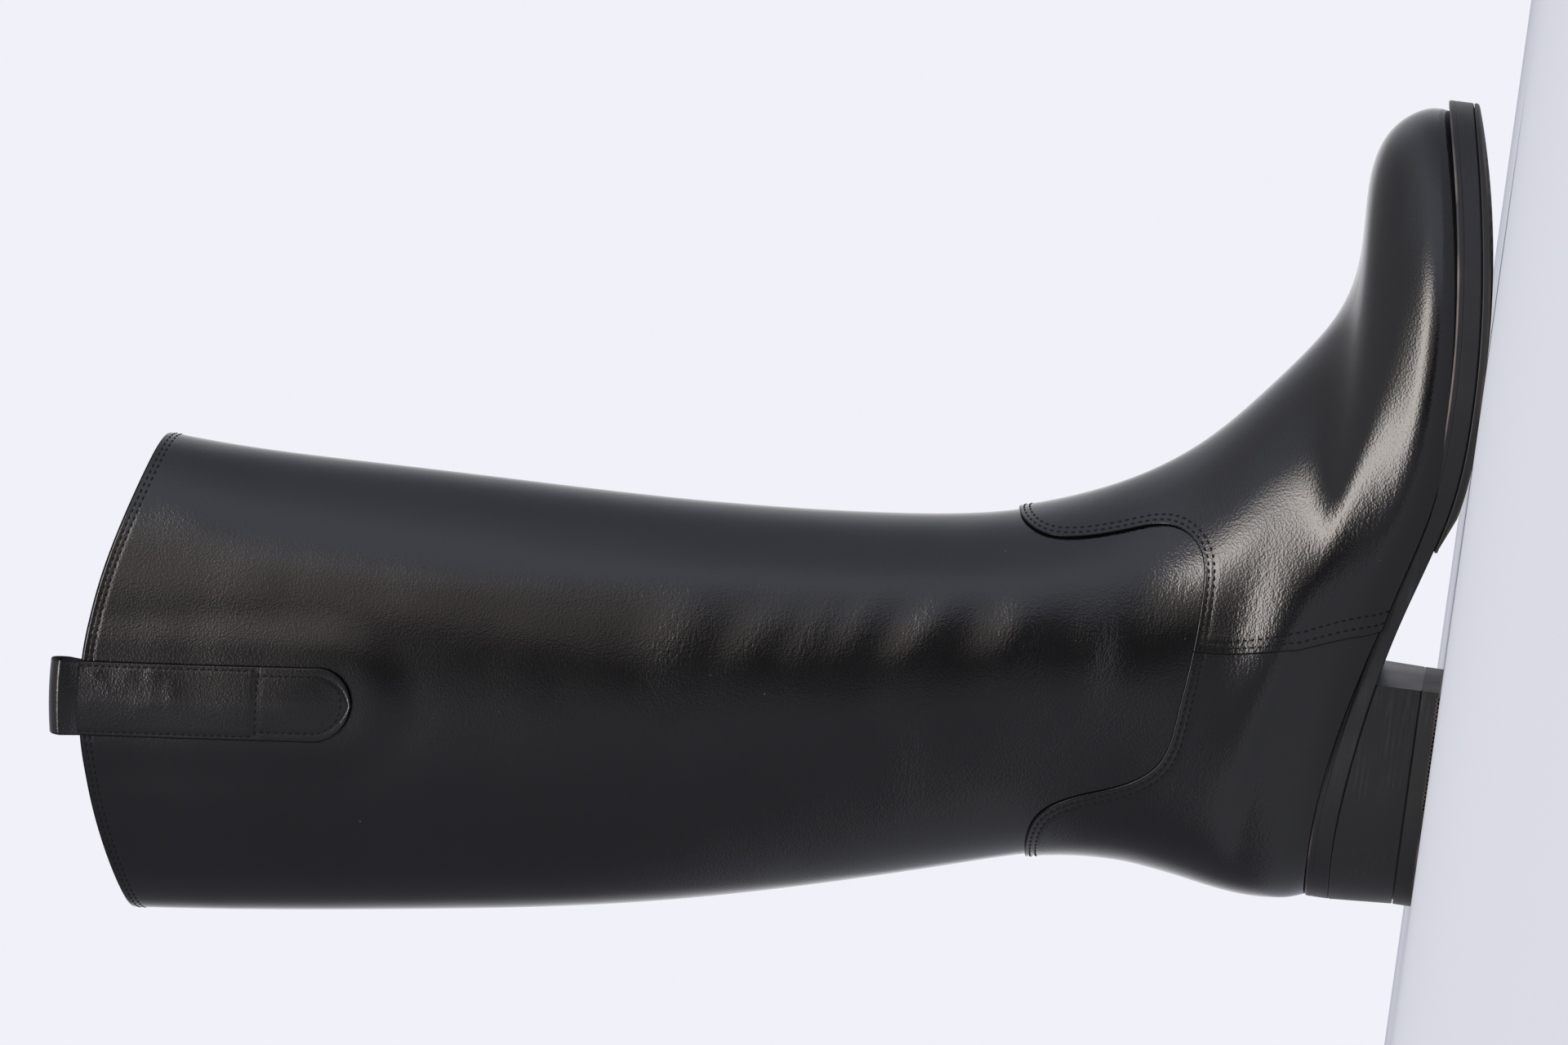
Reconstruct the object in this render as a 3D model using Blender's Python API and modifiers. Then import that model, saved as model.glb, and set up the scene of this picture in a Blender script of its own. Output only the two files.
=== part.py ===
"""Tall riding boot for the right foot, standing empty on its sole.

Every table is in millimetres: x runs from the back of the heel towards the toe, z up from the floor.
The model is in metres, +X towards the toe, +Z up, -Y the outer (lateral) side of the foot, with its
origin on the floor at the centre of the heel's tread.
"""

import math

import bmesh
import bpy
import numpy as np
from mathutils import Matrix

MM = 0.001

# Driving sizes
SOLE_LENGTH = 285.0
HEEL_LENGTH = 82.0
LIFT_HEIGHT = 6.5
HEEL_TAPER = 1.6
BAND_THICKNESS = 8.3
WALL = 2.2
OVERLAY = 1.0
GAP = 0.3
INSOLE_THICKNESS = 3.0
INSOLE_MARGIN = -3.2
FOOT_EDGE_LIFT = 1.5

# Forefoot tread: flat on the floor between two stations, curving up to the toe and a little to the waist
FLAT_START = 168.0
FLAT_END = 186.0
TOE_SPRING = 15.4
TREAD_BACK = 144.0
TREAD_BACK_RISE = 2.8
TREAD_FEATHER = 132.0
FEATHER_THICKNESS = 0.9

# Pull strap on the outer side of the shaft
STRAP_WIDTH = 27.0
STRAP_THICKNESS = 1.5
STRAP_TIP_LEVEL = 13.28
STRAP_TIP_SHARE = 0.492
STRAP_COLLAR_SHARE = 0.461
STRAP_LOOP_HEIGHT = 11.2
STRAP_LOOP_RADIUS = 4.8
STRAP_INSIDE_LEVEL = 14.1

# How finely each form is divided
UPPER_AROUND = 42
UPPER_ROWS = 30
FOOT_ROWS = 22
FOOT_TOP_LEVEL = 11.0
FRONT_SEAM_POINTS = 30
BACK_SEAM_POINTS = 24
SIDE_SEAM_POINTS = 8
TOE_EDGE_POINTS = 14
HEEL_EDGE_POINTS = 9
SOLE_ROWS = 36
SOLE_STRIPS = 2
HEEL_ROWS = 14
STRAP_STRIPS = 6
STRAP_TIP_STEPS = (0.0, 0.01, 0.04, 0.08, 0.13)
STRAP_SHAFT_ROWS = 8
STRAP_LOOP_ROWS = 9
STRAP_INSIDE_ROWS = 4
MERGE_DISTANCE = 0.01
SHARP_ANGLE = math.radians(40)

# Spine of the upper: a row for each section, from the feather edge to the collar.
# front and back are where the section meets the toe-to-shin and the heel-to-calf profile. toe_swing is how
# far its front lies towards the big toe, sag the share of the sole's curve that it follows, and side_rise
# how far its flanks stand above a straight line.
SPINE_COLUMNS = ("front_x", "front_z", "back_x", "back_z", "toe_swing", "sag", "side_rise")
SPINE = (
    (279.0, 25.1, 1.0, 37.6, 6.0, 1.00, 0.0),
    (279.5, 30.5, -1.2, 43.5, 6.0, 1.00, 0.0),
    (276.4, 37.6, -2.2, 49.5, 6.0, 0.97, 0.0),
    (267.9, 44.8, -2.6, 55.5, 5.8, 0.90, 0.0),
    (252.0, 48.0, -2.5, 61.5, 5.2, 0.75, 0.0),
    (229.0, 47.4, -2.0, 67.0, 4.4, 0.50, 0.0),
    (204.8, 52.7, -1.0, 74.0, 3.2, 0.28, 0.0),
    (179.4, 70.3, 0.7, 84.0, 2.0, 0.12, 0.0),
    (155.7, 91.4, 2.3, 96.0, 1.0, 0.04, 0.0),
    (137.5, 116.8, 2.9, 109.0, 0.4, 0.00, 0.0),
    (124.4, 147.8, 0.0, 134.0, 0.0, 0.00, 0.0),
    (115.6, 190.0, -13.0, 177.0, 0.0, 0.00, 0.0),
    (109.2, 270.0, -37.5, 264.0, 0.0, 0.00, 0.0),
    (107.0, 360.0, -55.0, 354.0, 0.0, 0.00, 1.5),
    (105.6, 430.0, -66.0, 424.0, 0.0, 0.00, 8.5),
    (106.8, 471.0, -71.5, 465.0, 0.0, 0.00, 16.5),
)
COLLAR_LEVEL = len(SPINE) - 1

# Half widths of some of those sections, outer then inner side, at four places evenly spread by angle:
# 10 % (heel), 35 % (waist), 65 % (ball) and 90 % (toe) of the way from the section's back to its front.
# heel_round and toe_round say how much blunter than an ellipse the two ends are.
# Columns: section, outer heel, waist, ball and toe, inner toe, ball, waist and heel, heel_round, toe_round.
GIRTH = (
    (0, 27.5, 30.0, 43.5, 29.5, 31.5, 42.0, 26.5, 28.0, 1.24, 1.12),
    (1, 28.8, 33.0, 46.0, 30.8, 32.8, 44.5, 30.5, 29.3, 1.24, 1.12),
    (2, 29.4, 34.5, 45.5, 30.0, 32.0, 43.5, 33.0, 29.4, 1.22, 1.10),
    (4, 29.4, 36.0, 41.0, 26.5, 28.0, 40.0, 35.5, 29.4, 1.15, 1.04),
    (6, 28.5, 36.5, 36.5, 23.0, 23.5, 36.0, 36.5, 28.5, 1.07, 1.00),
    (8, 26.5, 36.5, 35.5, 22.0, 22.0, 35.5, 36.5, 26.5, 1.00, 1.00),
    (10, 24.5, 36.0, 36.0, 23.0, 23.0, 36.0, 36.0, 24.5, 1.00, 1.00),
    (12, 23.5, 35.5, 35.0, 22.5, 22.5, 35.0, 35.5, 23.5, 1.00, 1.00),
    (15, 22.0, 33.0, 32.0, 21.0, 21.0, 32.0, 33.0, 22.0, 1.00, 1.00),
)
PLACES = 10

# Top edge of the sole band along the foot, and how far the band stands out beyond the upper's wall
SOLE_LINE_COLUMNS = ("x", "top_z", "welt")
SOLE_LINE = (
    (0.0, 37.3, 1.6),
    (25.0, 37.8, 1.6),
    (50.0, 35.8, 1.8),
    (80.0, 31.1, 2.4),
    (105.0, 25.4, 3.2),
    (130.0, 18.2, 4.0),
    (150.0, 13.3, 4.6),
    (175.0, 11.1, 5.0),
    (205.0, 11.9, 5.0),
    (235.0, 15.4, 5.2),
    (260.0, 20.0, 5.2),
    (285.0, 25.9, 5.2),
)

# Upper edge of the foot pieces in the side view, from the front of the ankle down round its side to the
# back. Columns: x, z.
ANKLE_SEAM = (
    (150.0, 158.0),
    (122.0, 155.5),
    (117.0, 146.0),
    (117.6, 132.0),
    (124.0, 113.0),
    (127.0, 99.0),
    (121.0, 89.0),
    (106.0, 85.6),
    (85.5, 86.2),
    (62.0, 88.7),
    (44.5, 93.0),
    (35.0, 104.5),
    (27.5, 122.0),
    (18.5, 133.5),
    (2.0, 137.5),
    (-30.0, 139.0),
)
SIDE_SEAM_ROW = 8

# Seam down each side from the ankle seam to the sole, where the vamp meets the counter. Columns: x, z.
SIDE_SEAM = (
    (85.5, 86.2),
    (86.4, 75.2),
    (91.0, 56.0),
    (102.5, 27.0),
)

# Leather and sole finishes: colour as linear red, green and blue, roughness
FINISHES = {
    "calf_leather": ((0.010, 0.010, 0.012), 0.34),
    "strap_leather": ((0.010, 0.010, 0.011), 0.36),
    "sole_rubber": ((0.014, 0.014, 0.015), 0.52),
    "tread_rubber": ((0.012, 0.012, 0.013), 0.60),
    "insole_leather": ((0.055, 0.042, 0.032), 0.60),
}


def column(table, names, name):
    """One named column of a table, as an array."""
    return np.array([row[names.index(name)] for row in table], float)


def spline(knots, values, at):
    """Natural cubic spline through values at knots, read at the places given."""
    knots = np.asarray(knots, float)
    values = np.asarray(values, float)
    at = np.asarray(at, float)
    spans = np.diff(knots)
    count = len(knots)
    system = np.eye(count)
    turn = np.zeros_like(values)
    for i in range(1, count - 1):
        system[i, i - 1 : i + 2] = spans[i - 1], 2 * (spans[i - 1] + spans[i]), spans[i]
        rise_after = (values[i + 1] - values[i]) / spans[i]
        rise_before = (values[i] - values[i - 1]) / spans[i - 1]
        turn[i] = 6 * (rise_after - rise_before)
    bend = np.linalg.solve(system, turn)
    i = np.clip(np.searchsorted(knots, at, side="right") - 1, 0, count - 2)
    shape = (-1,) + (1,) * (values.ndim - 1)
    span = spans[i].reshape(shape)
    b = (at - knots[i]).reshape(shape) / span
    a = 1 - b
    curve = ((a**3 - a) * bend[i] + (b**3 - b) * bend[i + 1]) * span**2 / 6
    return a * values[i] + b * values[i + 1] + curve


def sole_top(x):
    """Height of the sole band's top edge at station x."""
    return spline(column(SOLE_LINE, SOLE_LINE_COLUMNS, "x"), column(SOLE_LINE, SOLE_LINE_COLUMNS, "top_z"), x)


def sole_bottom(x):
    """Height of the sole band's underside, the band's thickness below its top along the slope."""
    step = 0.5
    slope = (sole_top(x + step) - sole_top(x - step)) / (2 * step)
    return sole_top(x) - BAND_THICKNESS * np.sqrt(1 + slope**2)


def tread(x):
    """Height of the forefoot's tread: flat at the ball, sprung at the toe, feathered out at the waist."""
    x = np.asarray(x, float)
    to_toe = np.clip((x - FLAT_END) / (SOLE_LENGTH - FLAT_END), 0, None)
    to_waist = np.clip((FLAT_START - x) / (FLAT_START - TREAD_BACK), 0, 1)
    height = TOE_SPRING * to_toe**2 + TREAD_BACK_RISE * to_waist**2
    feather_height = float(sole_bottom(np.array([TREAD_FEATHER]))[0]) - GAP - FEATHER_THICKNESS
    bevel = np.clip((TREAD_BACK - x) / (TREAD_BACK - TREAD_FEATHER), 0, 1)
    return height + bevel * (feather_height - TREAD_BACK_RISE)


def section(level):
    """Named spine values of the sections at these levels, 0 the feather edge and the last the collar."""
    values = spline(range(len(SPINE)), SPINE, level)
    return {name: values[:, i] for i, name in enumerate(SPINE_COLUMNS)}


def half_width(level, angle):
    """Ellipse half width at a section level and an angle, 0 at the back, a half turn at the front."""
    girth = np.array(GIRTH, float)
    named = spline(girth[:, 0], girth[:, 1:], level)
    half = PLACES // 2
    turn = math.tau / PLACES
    outer = named[:, : half - 1] / np.sin(np.arange(1, half) * turn)
    inner = named[:, half - 1 : PLACES - 2] / np.sin(np.arange(half - 1, 0, -1) * turn)
    heel_round, toe_round = named[:, -2:-1], named[:, -1:]
    back = heel_round * (outer[:, :1] + inner[:, -1:]) / 2
    front = toe_round * (outer[:, -1:] + inner[:, :1]) / 2
    controls = np.hstack([back, outer, front, inner])
    knots = np.arange(-PLACES, 2 * PLACES)
    weights = spline(knots, np.tile(np.eye(PLACES), (3, 1)), angle / turn)
    return (weights * controls).sum(axis=1)


def upper_point(level, angle):
    """Points of the upper's outer face. The outer side of the foot has angles up to a half turn."""
    at = section(level)
    along = (1 - np.cos(angle)) / 2
    x = at["back_x"] + along * (at["front_x"] - at["back_x"])
    y = at["toe_swing"] * along - np.sin(angle) * half_width(level, angle)
    feather = section(np.zeros_like(level))
    feather_x = feather["back_x"] + along * (feather["front_x"] - feather["back_x"])
    feather_z = feather["back_z"] + along * (feather["front_z"] - feather["back_z"])
    sag = sole_top(feather_x) + GAP - feather_z
    z = at["back_z"] + along * (at["front_z"] - at["back_z"])
    z = z + at["sag"] * sag + at["side_rise"] * np.abs(np.sin(angle)) ** 3
    return np.column_stack([x, y, z])


def outline_point(angle, margin):
    """Points of the foot's outline in plan, set out from the feather edge by margin along its normal."""
    level = np.zeros_like(angle)
    step = 0.001
    here = upper_point(level, angle)[:, :2]
    ahead = upper_point(level, angle + step)[:, :2] - upper_point(level, angle - step)[:, :2]
    length = np.hypot(ahead[:, 0], ahead[:, 1])
    normal = np.column_stack([ahead[:, 1], -ahead[:, 0]]) / length[:, None]
    return here + normal * np.reshape(margin, (-1, 1))


def welt_margin(angle):
    """How far the sole band stands out beyond the upper's wall at this angle."""
    x = upper_point(np.zeros_like(angle), angle)[:, 0]
    return spline(column(SOLE_LINE, SOLE_LINE_COLUMNS, "x"), column(SOLE_LINE, SOLE_LINE_COLUMNS, "welt"), x)


def angle_at(station):
    """Angle of the feather edge at a station along the foot."""
    feather = section(np.zeros(1))
    back, front = feather["back_x"][0], feather["front_x"][0]
    return math.acos(1 - 2 * (station - back) / (front - back))


def to_model(points):
    """Table millimetres to the model's metres, with the origin under the middle of the heel."""
    return (points - np.array([HEEL_LENGTH / 2, 0, 0])) * MM


def clear_scene():
    for obj in list(bpy.data.objects):
        bpy.data.objects.remove(obj)


def make_collection(name):
    collection = bpy.data.collections.new(name)
    bpy.context.scene.collection.children.link(collection)
    return collection


def make_finish(name):
    """Principled material with the finish's colour and roughness."""
    colour, roughness = FINISHES[name]
    material = bpy.data.materials.new(name)
    material.use_nodes = True
    shader = material.node_tree.nodes["Principled BSDF"]
    shader.inputs["Base Color"].default_value = (*colour, 1.0)
    shader.inputs["Roughness"].default_value = roughness
    shader.inputs["Metallic"].default_value = 0.0
    return material


def add_object(name, shape, collection, finish=None):
    """An object of a finished bmesh, smooth on its round faces."""
    mesh = bpy.data.meshes.new(name)
    shape.to_mesh(mesh)
    shape.free()
    mesh.shade_smooth()
    mesh.set_sharp_from_angle(angle=SHARP_ANGLE)
    obj = bpy.data.objects.new(name, mesh)
    if finish:
        mesh.materials.append(finish)
    collection.objects.link(obj)
    return obj


def shaped_grid(across, along, place):
    """A grid primitive whose points, read as two shares from 0 to 1, go where place puts them."""
    shape = bmesh.new()
    bmesh.ops.create_grid(shape, x_segments=across, y_segments=along, size=1.0)
    shares = np.array([((v.co.x + 1) / 2, (v.co.y + 1) / 2) for v in shape.verts])
    for vert, point in zip(shape.verts, to_model(place(shares[:, 0], shares[:, 1]))):
        vert.co = point
    bmesh.ops.remove_doubles(shape, verts=shape.verts, dist=MERGE_DISTANCE * MM)
    return shape


def shaped_slab(along, across, place_top, place_bottom):
    """A closed slab: a grid primitive extruded once, its two faces put in place by a function each."""
    shape = bmesh.new()
    bmesh.ops.create_grid(shape, x_segments=along, y_segments=across, size=1.0)
    top = list(shape.verts)
    made = bmesh.ops.extrude_face_region(shape, geom=shape.faces[:])
    bottom = [item for item in made["geom"] if isinstance(item, bmesh.types.BMVert)]
    for verts, place in ((top, place_top), (bottom, place_bottom)):
        shares = np.array([((v.co.x + 1) / 2, (v.co.y + 1) / 2) for v in verts])
        for vert, point in zip(verts, to_model(place(shares[:, 0], shares[:, 1]))):
            vert.co = point
    bmesh.ops.remove_doubles(shape, verts=shape.verts, dist=MERGE_DISTANCE * MM)
    bmesh.ops.dissolve_degenerate(shape, edges=shape.edges, dist=MERGE_DISTANCE / 2 * MM)
    bmesh.ops.recalc_face_normals(shape, faces=shape.faces)
    return shape


def plan_place(start, end, margin, height):
    """Place function for a sole piece between two angles, from its outer to its inner edge."""

    def place(along, across):
        angle = start + along * (end - start)
        set_out = margin(angle)
        outer = outline_point(angle, set_out)
        inner = outline_point(math.tau - angle, set_out)
        plan = outer + across[:, None] * (inner - outer)
        return np.column_stack([plan, height(plan[:, 0])])

    return place


def add_sole_piece(name, collection, finish, stations, top, bottom, rows=SOLE_ROWS):
    """A slab of the sole between two stations. top and bottom each give a margin and a height function."""
    start, end = stations
    faces = [plan_place(start, end, margin, height) for margin, height in (top, bottom)]
    return add_object(name, shaped_slab(rows, SOLE_STRIPS, *faces), collection, finish)


def upper_grid(around, rows, top_level):
    """Open surface of the upper's outer face, from the feather edge up to a section level."""

    def place(round_share, up_share):
        return upper_point(up_share * top_level, round_share * math.tau)

    return shaped_grid(around, rows, place)


def add_upper(collection, finish):
    """Shaft and foot as one lined wall, open at the collar and underneath."""
    shape = upper_grid(UPPER_AROUND, UPPER_ROWS, COLLAR_LEVEL)
    upper = add_object("upper", shape, collection, finish)
    wall = upper.modifiers.new("wall", "SOLIDIFY")
    wall.thickness = WALL * MM
    wall.offset = -1
    wall.use_even_offset = True
    return upper


def smooth_line(points, count):
    """A smooth line through points, read at evenly spread places."""
    points = np.array(points, float)
    steps = np.hypot(*np.diff(points, axis=0).T)
    run = np.concatenate([[0], np.cumsum(steps)])
    return spline(run, points, np.linspace(0, run[-1], count))


def add_pattern(name, outline, collection):
    """Cutter: a flat pattern piece drawn in the side view and extruded through the whole boot."""
    curve = bpy.data.curves.new(name, "CURVE")
    curve.dimensions = "2D"
    curve.fill_mode = "BOTH"
    reach = 80.0
    curve.extrude = reach * MM
    line = curve.splines.new("POLY")
    line.points.add(len(outline) - 1)
    for point, (x, z) in zip(line.points, outline):
        point.co = ((x - HEEL_LENGTH / 2) * MM, z * MM, 0, 1)
    line.use_cyclic_u = True
    drawn = bpy.data.objects.new(name + "_outline", curve)
    collection.objects.link(drawn)
    drawn.matrix_world = Matrix.Rotation(math.radians(90), 4, "X")
    bpy.context.view_layer.update()
    mesh = bpy.data.meshes.new_from_object(drawn.evaluated_get(bpy.context.evaluated_depsgraph_get()))
    shape = bmesh.new()
    shape.from_mesh(mesh)
    bmesh.ops.remove_doubles(shape, verts=shape.verts, dist=MERGE_DISTANCE * MM)
    bmesh.ops.recalc_face_normals(shape, faces=shape.faces)
    shape.to_mesh(mesh)
    shape.free()
    pattern = bpy.data.objects.new(name, mesh)
    pattern.matrix_world = drawn.matrix_world
    collection.objects.link(pattern)
    bpy.data.objects.remove(drawn)
    pattern.hide_render = True
    pattern.display_type = "WIRE"
    return pattern


def foot_patterns():
    """Side-view outlines of the vamp and the counter, a gap apart along the side seam."""
    front_seam = smooth_line(ANKLE_SEAM[: SIDE_SEAM_ROW + 1], FRONT_SEAM_POINTS)
    back_seam = smooth_line(ANKLE_SEAM[SIDE_SEAM_ROW:], BACK_SEAM_POINTS)
    side = smooth_line(SIDE_SEAM, SIDE_SEAM_POINTS)
    clear = 40.0
    toe_x = np.linspace(SIDE_SEAM[-1][0], SOLE_LENGTH, TOE_EDGE_POINTS)[1:]
    toe_edge = np.column_stack([toe_x, sole_top(toe_x) + GAP + FOOT_EDGE_LIFT])
    heel_x = np.linspace(SIDE_SEAM[-1][0], 0.0, HEEL_EDGE_POINTS)[1:]
    heel_edge = np.column_stack([heel_x, sole_top(heel_x) + GAP + FOOT_EDGE_LIFT])
    side[-1, 1] = float(sole_top(side[-1:, 0])[0]) + GAP + FOOT_EDGE_LIFT
    beyond_toe = [(SOLE_LENGTH + clear, toe_edge[-1, 1]), (SOLE_LENGTH + clear, front_seam[0, 1])]
    beyond_heel = [(-clear, heel_edge[-1, 1]), (-clear, back_seam[-1, 1])]
    vamp = np.vstack([front_seam, side[1:], toe_edge, beyond_toe])
    step_back = np.array([-GAP, 0.0])
    counter = np.vstack([back_seam[::-1], side[1:], heel_edge, beyond_heel])
    seam_part = len(back_seam) - 1
    counter[seam_part : seam_part + len(side)] += step_back
    return vamp, counter


def add_overlay(name, outline, collection, cutters, finish):
    """A piece of leather laid over the upper: a shell off the upper's own face, cut to its pattern."""
    overlay = add_object(name, upper_grid(UPPER_AROUND, FOOT_ROWS, FOOT_TOP_LEVEL), collection, finish)
    lift = overlay.modifiers.new("clear_of_upper", "DISPLACE")
    lift.strength = GAP * MM
    lift.mid_level = 0.0
    thickness = overlay.modifiers.new("leather", "SOLIDIFY")
    thickness.thickness = OVERLAY * MM
    thickness.offset = 1
    thickness.use_even_offset = True
    cut = overlay.modifiers.new("pattern", "BOOLEAN")
    cut.operation = "INTERSECT"
    cut.object = add_pattern(name + "_pattern", outline, cutters)
    return overlay


def face_normal(level, angle):
    """Outward normals of the upper's face."""
    step = 0.002
    round_way = upper_point(level, angle + step) - upper_point(level, angle - step)
    up_way = upper_point(level + step, angle) - upper_point(level - step, angle)
    normal = np.cross(round_way, up_way)
    return normal / np.linalg.norm(normal, axis=1)[:, None]


def strap_rows():
    """Rows of the strap along its length: the part it lies on, and the level or turn it has there."""
    outside = [STRAP_TIP_LEVEL + step for step in STRAP_TIP_STEPS]
    outside += list(np.linspace(outside[-1], COLLAR_LEVEL, STRAP_SHAFT_ROWS)[1:])
    loop = np.linspace(0, math.pi, STRAP_LOOP_ROWS)
    inside = np.linspace(COLLAR_LEVEL, STRAP_INSIDE_LEVEL, STRAP_INSIDE_ROWS)
    rows = [("outside", level) for level in outside]
    rows += [("loop", turn) for turn in loop]
    return rows + [("inside", level) for level in inside]


def strap_angle(level, across):
    """Angle on the upper's face at a distance across from the strap's middle line."""
    at = section(level)
    climb = (level - STRAP_TIP_LEVEL) / (COLLAR_LEVEL - STRAP_TIP_LEVEL)
    share = STRAP_TIP_SHARE + climb * (STRAP_COLLAR_SHARE - STRAP_TIP_SHARE)
    return np.arccos(1 - 2 * (share + across / (at["front_x"] - at["back_x"])))


def strap_half_width(level):
    """Half width of the strap at a level, rounded off at its sewn end."""
    half = STRAP_WIDTH / 2
    side = np.full_like(level, math.pi / 2)
    tip = upper_point(np.full_like(level, STRAP_TIP_LEVEL), side)
    from_tip = np.linalg.norm(upper_point(level, side) - tip, axis=1)
    inset = np.clip(half - from_tip, 0, half)
    return np.sqrt(half**2 - inset**2)


def strap_row(part, value, side):
    """Points of one row across the strap's middle surface. side runs from -1 to 1."""
    ones = np.ones_like(side)
    half = STRAP_WIDTH / 2
    stand_off = GAP + STRAP_THICKNESS / 2
    if part == "outside":
        level = value * ones
        angle = strap_angle(level, side * strap_half_width(level))
        return upper_point(level, angle) + face_normal(level, angle) * stand_off
    if part == "inside":
        level = value * ones
        angle = strap_angle(level, side * half)
        return upper_point(level, angle) - face_normal(level, angle) * (WALL + stand_off)
    level = COLLAR_LEVEL * ones
    just_below = level - 0.05
    angle = strap_angle(level, side * half)
    edge = upper_point(level, angle)
    out = face_normal(just_below, angle)
    up = edge - upper_point(just_below, angle)
    up = up / np.linalg.norm(up, axis=1)[:, None]
    middle_height = STRAP_LOOP_HEIGHT - STRAP_LOOP_RADIUS - STRAP_THICKNESS / 2
    middle = edge - out * WALL / 2 + up * middle_height
    return middle + STRAP_LOOP_RADIUS * (math.cos(value) * out + math.sin(value) * up)


def add_pull_strap(collection, finish):
    """A strap sewn down the outer side, carried over the collar as a loop and down inside."""
    rows = strap_rows()

    def place(across_share, along_share):
        points = np.zeros((len(along_share), 3))
        row = np.rint(along_share * (len(rows) - 1)).astype(int)
        for index, (part, value) in enumerate(rows):
            here = row == index
            points[here] = strap_row(part, value, across_share[here] * 2 - 1)
        return points

    shape = shaped_grid(STRAP_STRIPS, len(rows) - 1, place)
    strap = add_object("pull_strap", shape, collection, finish)
    body = strap.modifiers.new("leather", "SOLIDIFY")
    body.thickness = STRAP_THICKNESS * MM
    body.offset = 0
    return strap


def add_sole(collection, rubber, tread_rubber, insole_leather):
    """Sole band, forefoot tread, heel block, heel lift and insole."""

    def heel_margin(taper):
        return lambda angle: welt_margin(angle) - taper

    def level(height):
        return lambda x: np.full_like(x, height)

    whole = (0.0, math.pi)
    heel = (0.0, angle_at(HEEL_LENGTH))
    forefoot = (angle_at(TREAD_FEATHER), math.pi)
    add_sole_piece(
        "midsole", collection, rubber, whole,
        top=(welt_margin, sole_top),
        bottom=(welt_margin, sole_bottom),
    )
    add_sole_piece(
        "outsole", collection, tread_rubber, forefoot,
        top=(welt_margin, lambda x: sole_bottom(x) - GAP),
        bottom=(welt_margin, tread),
    )
    add_sole_piece(
        "heel_block", collection, rubber, heel,
        top=(heel_margin(0.0), lambda x: sole_bottom(x) - GAP),
        bottom=(heel_margin(HEEL_TAPER), level(LIFT_HEIGHT + GAP)),
        rows=HEEL_ROWS,
    )
    add_sole_piece(
        "top_lift", collection, tread_rubber, heel,
        top=(heel_margin(HEEL_TAPER), level(LIFT_HEIGHT)),
        bottom=(heel_margin(HEEL_TAPER), level(0.0)),
        rows=HEEL_ROWS,
    )

    def inside(angle):
        return np.full_like(angle, INSOLE_MARGIN)

    add_sole_piece(
        "insole", collection, insole_leather, whole,
        top=(inside, lambda x: sole_top(x) + GAP + INSOLE_THICKNESS),
        bottom=(inside, lambda x: sole_top(x) + GAP),
    )


def main():
    clear_scene()
    boot = make_collection("tall_riding_boot")
    cutters = make_collection("pattern_cutters")
    calf = make_finish("calf_leather")
    add_upper(boot, calf)
    vamp, counter = foot_patterns()
    add_overlay("vamp", vamp, boot, cutters, calf)
    add_overlay("counter", counter, boot, cutters, calf)
    add_pull_strap(boot, make_finish("strap_leather"))
    add_sole(boot, make_finish("sole_rubber"), make_finish("tread_rubber"), make_finish("insole_leather"))


main()
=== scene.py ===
"""Looks of the tall riding boot: leather, stitching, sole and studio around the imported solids.

Tables are in millimetres, as in the part's source: x from the back of the heel towards the toe, z up from
the floor. The model is in metres, with its origin on the floor under the middle of the heel.
"""

import math
from functools import partial

import bmesh
import bpy
import numpy as np
from mathutils import Matrix, Vector, kdtree


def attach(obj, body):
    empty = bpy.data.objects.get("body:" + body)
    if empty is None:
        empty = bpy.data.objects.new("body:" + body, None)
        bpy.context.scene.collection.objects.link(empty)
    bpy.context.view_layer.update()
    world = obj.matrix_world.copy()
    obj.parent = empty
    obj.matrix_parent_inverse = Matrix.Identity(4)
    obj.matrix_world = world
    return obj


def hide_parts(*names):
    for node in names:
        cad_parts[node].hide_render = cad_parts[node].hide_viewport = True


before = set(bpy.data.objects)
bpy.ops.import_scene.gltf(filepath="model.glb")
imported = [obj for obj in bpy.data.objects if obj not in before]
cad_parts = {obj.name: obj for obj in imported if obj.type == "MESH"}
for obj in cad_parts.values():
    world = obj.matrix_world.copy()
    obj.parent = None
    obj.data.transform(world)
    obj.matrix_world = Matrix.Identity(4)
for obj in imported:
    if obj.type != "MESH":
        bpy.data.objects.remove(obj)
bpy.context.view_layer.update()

MM = 0.001

# Driving sizes, the same as in the part's source
SOLE_LENGTH = 285.0
HEEL_LENGTH = 82.0
LIFT_HEIGHT = 6.5
HEEL_TAPER = 1.6
BAND_THICKNESS = 8.3
WALL = 2.2
GAP = 0.3
INSOLE_THICKNESS = 3.0
INSOLE_MARGIN = -3.2
FLAT_START = 168.0
FLAT_END = 186.0
TOE_SPRING = 15.4
TREAD_BACK = 144.0
TREAD_BACK_RISE = 2.8
TREAD_FEATHER = 132.0
FEATHER_THICKNESS = 0.9
STRAP_WIDTH = 27.0
STRAP_THICKNESS = 1.5
STRAP_TIP_LEVEL = 13.28
STRAP_TIP_SHARE = 0.492
STRAP_COLLAR_SHARE = 0.461
STRAP_LOOP_HEIGHT = 11.2
STRAP_LOOP_RADIUS = 4.8
STRAP_INSIDE_LEVEL = 14.1

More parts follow.
